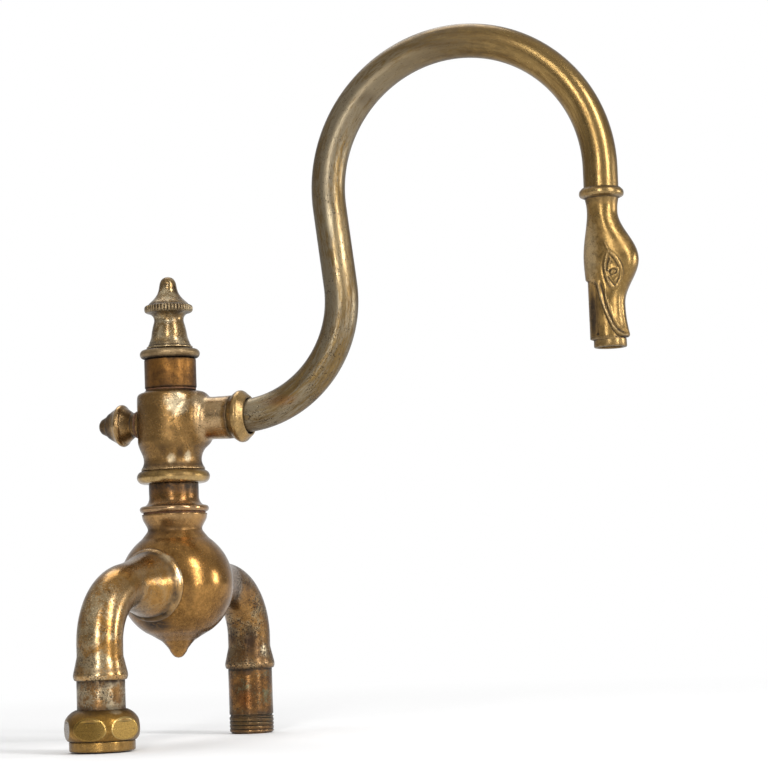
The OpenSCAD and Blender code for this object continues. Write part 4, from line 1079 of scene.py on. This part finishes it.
def turn_nut():
    """The round-bellied nut: spun, with its six flats pressed into the belly."""
    low, seat, middle, top = -11.1, -6.7, -1.8, 6.4
    rim_r, bore_r, mouth_r = 14.2, 12.6, 12.1
    z = np.linspace(seat + 0.1, top, 58)
    upper = 7.9 + np.sqrt(np.maximum(0, 8.8 ** 2 - (z - middle) ** 2))
    lower = 10.1 + np.sqrt(np.maximum(0, 6.6 ** 2 - (z - middle) ** 2))
    belly = np.stack([np.where(z > middle, upper, lower), z], 1)
    foot = straight([(12.4, low), (13.7, low), (14.15, low + 0.45), (rim_r, seat - 0.5), (14.0, seat - 0.2),
                     (13.9, seat)], 0.3)
    groove = straight([(13.9, seat), tuple(belly[0])], 0.25)
    outer = np.vstack([foot[:-1], groove[:-1], belly])
    inner = straight([tuple(belly[-1]), (10.7, 6.5), (10.7, 3.05), (bore_r, 3.0), (bore_r, -2.0),
                      (mouth_r, -2.1), (mouth_r, low), (12.4, low)], 0.8)
    shape = np.vstack([outer, inner[1:]])

    def place(ring, angle):
        r, h = shape[ring, 0].copy(), shape[ring, 1]
        fold = (angle - NUT_TURN) % (math.pi / 3) - math.pi / 6
        flat = NUT_FLAT / np.cos(fold)
        pressed = step(np.abs(h + 2.2), 4.9, 3.5) * (ring < len(outer)) * (h > seat + 0.05)
        r = r - np.maximum(0, r - flat) * pressed
        return upright(-LEG_Y, r, angle, h)

    bm = wound(len(shape), 288, place)
    return piece("union_nut_pressed", bm, nut_skin, "nut", "nut_brass", "union_nut")


# Threaded tail

def thread_tail():
    """The right tail, turned with a short neck above its thread, and the thread's groove cut as a helix."""
    pitch, deep = 1.8, 0.38
    foot, thread_top, cut_top, top = FLOOR_Z, -3.9, -3.7, 22.1
    tail_r, thread_r, neck_r, bore_r, chamfer_r = 10.4, 10.44, 9.9, 8.0, 9.2
    outer = straight([(chamfer_r, foot), (9.9, foot + 0.5), (thread_r, foot + 0.9), (thread_r, thread_top),
                      (neck_r, -3.5), (neck_r, -2.9), (tail_r, -2.6), (tail_r, top)], 0.16)
    inner = straight([(tail_r, top), (bore_r, top), (bore_r, foot), (chamfer_r, foot)], 2.0)
    shape = np.vstack([outer, inner[1:]])

    def place(ring, angle):
        r, h = shape[ring, 0].copy(), shape[ring, 1]
        cut = (ring < len(outer)) & (h < cut_top) & (h > foot + 0.2)
        wave = np.abs((((h / pitch) + angle / math.tau) % 1) - 0.5) * 2
        r = np.where(cut, r - deep * step(wave, 0.5, 0.0), r)
        return upright(LEG_Y, r, angle, h)

    bm = wound(len(shape), 120, place)
    return piece("right_tail_threaded", bm, thread_skin, "base", "thread_brass", "right_tail")


bend_tube()
carve_head()
turn_nut()
turn_knob()
thread_tail()
for turned in (
        ("swivel_body_cast", "swivel_body", 0.42, 6, body_skin, "swivel", "dark_brass", body_shape),
        ("left_leg_cast", "left_leg", 0.5, 4, leg_skin, "base", "aged_brass", leg_shape),
        ("right_leg_cast", "right_leg", 0.5, 4, right_leg_skin, "base", "aged_brass", leg_shape),
        ("mixing_bulb_cast", "mixing_bulb", 0.5, 4, bulb_skin, "base", "aged_brass", bulb_shape),
        ("side_plug_turned", "side_plug", 0.3, 3, plug_skin, "swivel", "dark_brass"),
        ("ferrule_turned", "spout_ferrule", 0.3, 4, ferrule_skin, "swivel", "worn_brass"),
        ("post_turned", "swivel_post", 0.4, 3, post_skin, "base", "dark_brass"),
        ("swivel_ring_turned", "swivel_nut", 0.35, 3, ring_skin, "swivel", "worn_brass"),
        ("gland_turned", "gland_nut", 0.3, 3, flange_skin, "swivel", "aged_brass")):
    cast(*turned)


# Floor, light and camera

def stage():
    """A pale floor that fades to plain white away from the tap, and keeps the tap's shadow near it."""
    bpy.ops.mesh.primitive_plane_add(size=24, location=(0, 0, (FLOOR_Z - 0.05) * MM))
    floor = bpy.context.object
    floor.name = "floor"
    material, tree, shader = blank("pale_floor")
    shader.inputs["Base Color"].default_value = (0.92, 0.92, 0.92, 1)
    shader.inputs["Roughness"].default_value = 0.9
    shader.inputs["Specular IOR Level"].default_value = 0.1
    clear = add(tree, "ShaderNodeEmission")
    clear.inputs["Color"].default_value = (1, 1, 1, 1)
    far = vectors(tree, "LENGTH", add(tree, "ShaderNodeTexCoord").outputs["Object"], out="Value")
    path = add(tree, "ShaderNodeLightPath").outputs
    seen = larger(tree, path["Is Glossy Ray"], path["Is Transmission Ray"])
    seen = larger(tree, path["Is Camera Ray"], seen)
    blend = add(tree, "ShaderNodeMixShader")
    put(tree, blend.inputs[0], times(tree, span(tree, far, 0.12, 0.75), seen))
    put(tree, blend.inputs[1], shader.outputs[0])
    put(tree, blend.inputs[2], clear.outputs[0])
    put(tree, tree.nodes["Material Output"].inputs[0], blend.outputs[0])
    floor.data.materials.append(material)


AWAY_FROM_CAMERA = (-0.4375, 0.8946, 0.0907)
TAP_MIDDLE = Vector((0.05, 0, 0.14))
# name, azimuth, elevation, distance, width, height (metres), power
WINDOWS = (
    ("window_left", -72, 16, 1.5, 0.2, 1.2, 10),
    ("window_right", -14, 22, 1.5, 0.26, 1.4, 16),
    ("window_side", 28, 5, 1.0, 0.14, 0.26, 2.4),
    ("window_high", 130, 60, 1.6, 0.9, 0.9, 8))


def room():
    """What the metal mirrors: the pale backdrop behind it, and a greyer room to the sides and in front."""
    world = bpy.data.worlds.new("white_room")
    bpy.context.scene.world = world
    world.use_nodes = True
    tree = world.node_tree
    back = tree.nodes["Background"]
    path = add(tree, "ShaderNodeLightPath").outputs
    way = add(tree, "ShaderNodeTexCoord").outputs["Generated"]
    backdrop = span(tree, vectors(tree, "DOT_PRODUCT", way, AWAY_FROM_CAMERA, "Value"), 0.35, 0.95)
    walls = span(tree, noise(tree, way, 2.2, 2.0, 0.5), 0.4, 0.6, 0.10, 0.36)
    walls = plus(tree, walls, span(tree, split(tree, way)["Z"], 0.1, 0.8, 0.0, 0.35))
    walls = larger(tree, walls, times(tree, backdrop, 0.8))
    glossy = path["Is Glossy Ray"]
    mirrored = times(tree, glossy, walls)
    other = times(tree, minus(tree, 1.0, glossy), 0.5)
    white = larger(tree, path["Is Camera Ray"], path["Is Transmission Ray"])
    put(tree, back.inputs["Strength"], larger(tree, plus(tree, mirrored, other), white))
    back.inputs["Color"].default_value = (1, 1, 1, 1)


def windows():
    for name, azimuth, elevation, distance, wide, tall, power in WINDOWS:
        lamp = bpy.data.lights.new(name, "AREA")
        lamp.shape = "RECTANGLE"
        lamp.size, lamp.size_y = wide, tall
        lamp.energy = power
        a, e = math.radians(azimuth), math.radians(elevation)
        out = Vector((math.cos(a) * math.cos(e), math.sin(a) * math.cos(e), math.sin(e)))
        made = stand(name, lamp)
        made.location = TAP_MIDDLE + out * distance
        made.rotation_euler = out.to_track_quat("Z", "Y").to_euler()


def camera():
    """At the photograph's place: azimuth, distance and height, then turned, raised and rolled."""
    azimuth, away, height = math.radians(-58.88527), 1.1089635, 0.0460035
    turn, rise, roll = math.radians(5.0374874), math.radians(5.2121629), math.radians(2.1537872)
    focal_px, photo_px, sensor = 2428.5592, 768, 36
    ahead = Vector((-math.cos(azimuth), -math.sin(azimuth), 0))
    ahead = Quaternion((0, 0, 1), -turn) @ ahead
    right = ahead.cross(Vector((0, 0, 1))).normalized()
    ahead = Quaternion(right, rise) @ ahead
    up = Quaternion(ahead, roll) @ right.cross(ahead)
    right = ahead.cross(up)
    data = bpy.data.cameras.new("camera")
    data.sensor_width = sensor
    data.lens = focal_px * sensor / photo_px
    made = stand("camera", data)
    spot = Vector((away * math.cos(azimuth), away * math.sin(azimuth), height))
    made.matrix_world = Matrix.Translation(spot) @ Matrix((right, up, -ahead)).transposed().to_4x4()
    bpy.context.scene.camera = made


stage()
room()
windows()
camera()
bpy.context.scene.view_settings.view_transform = "Standard"
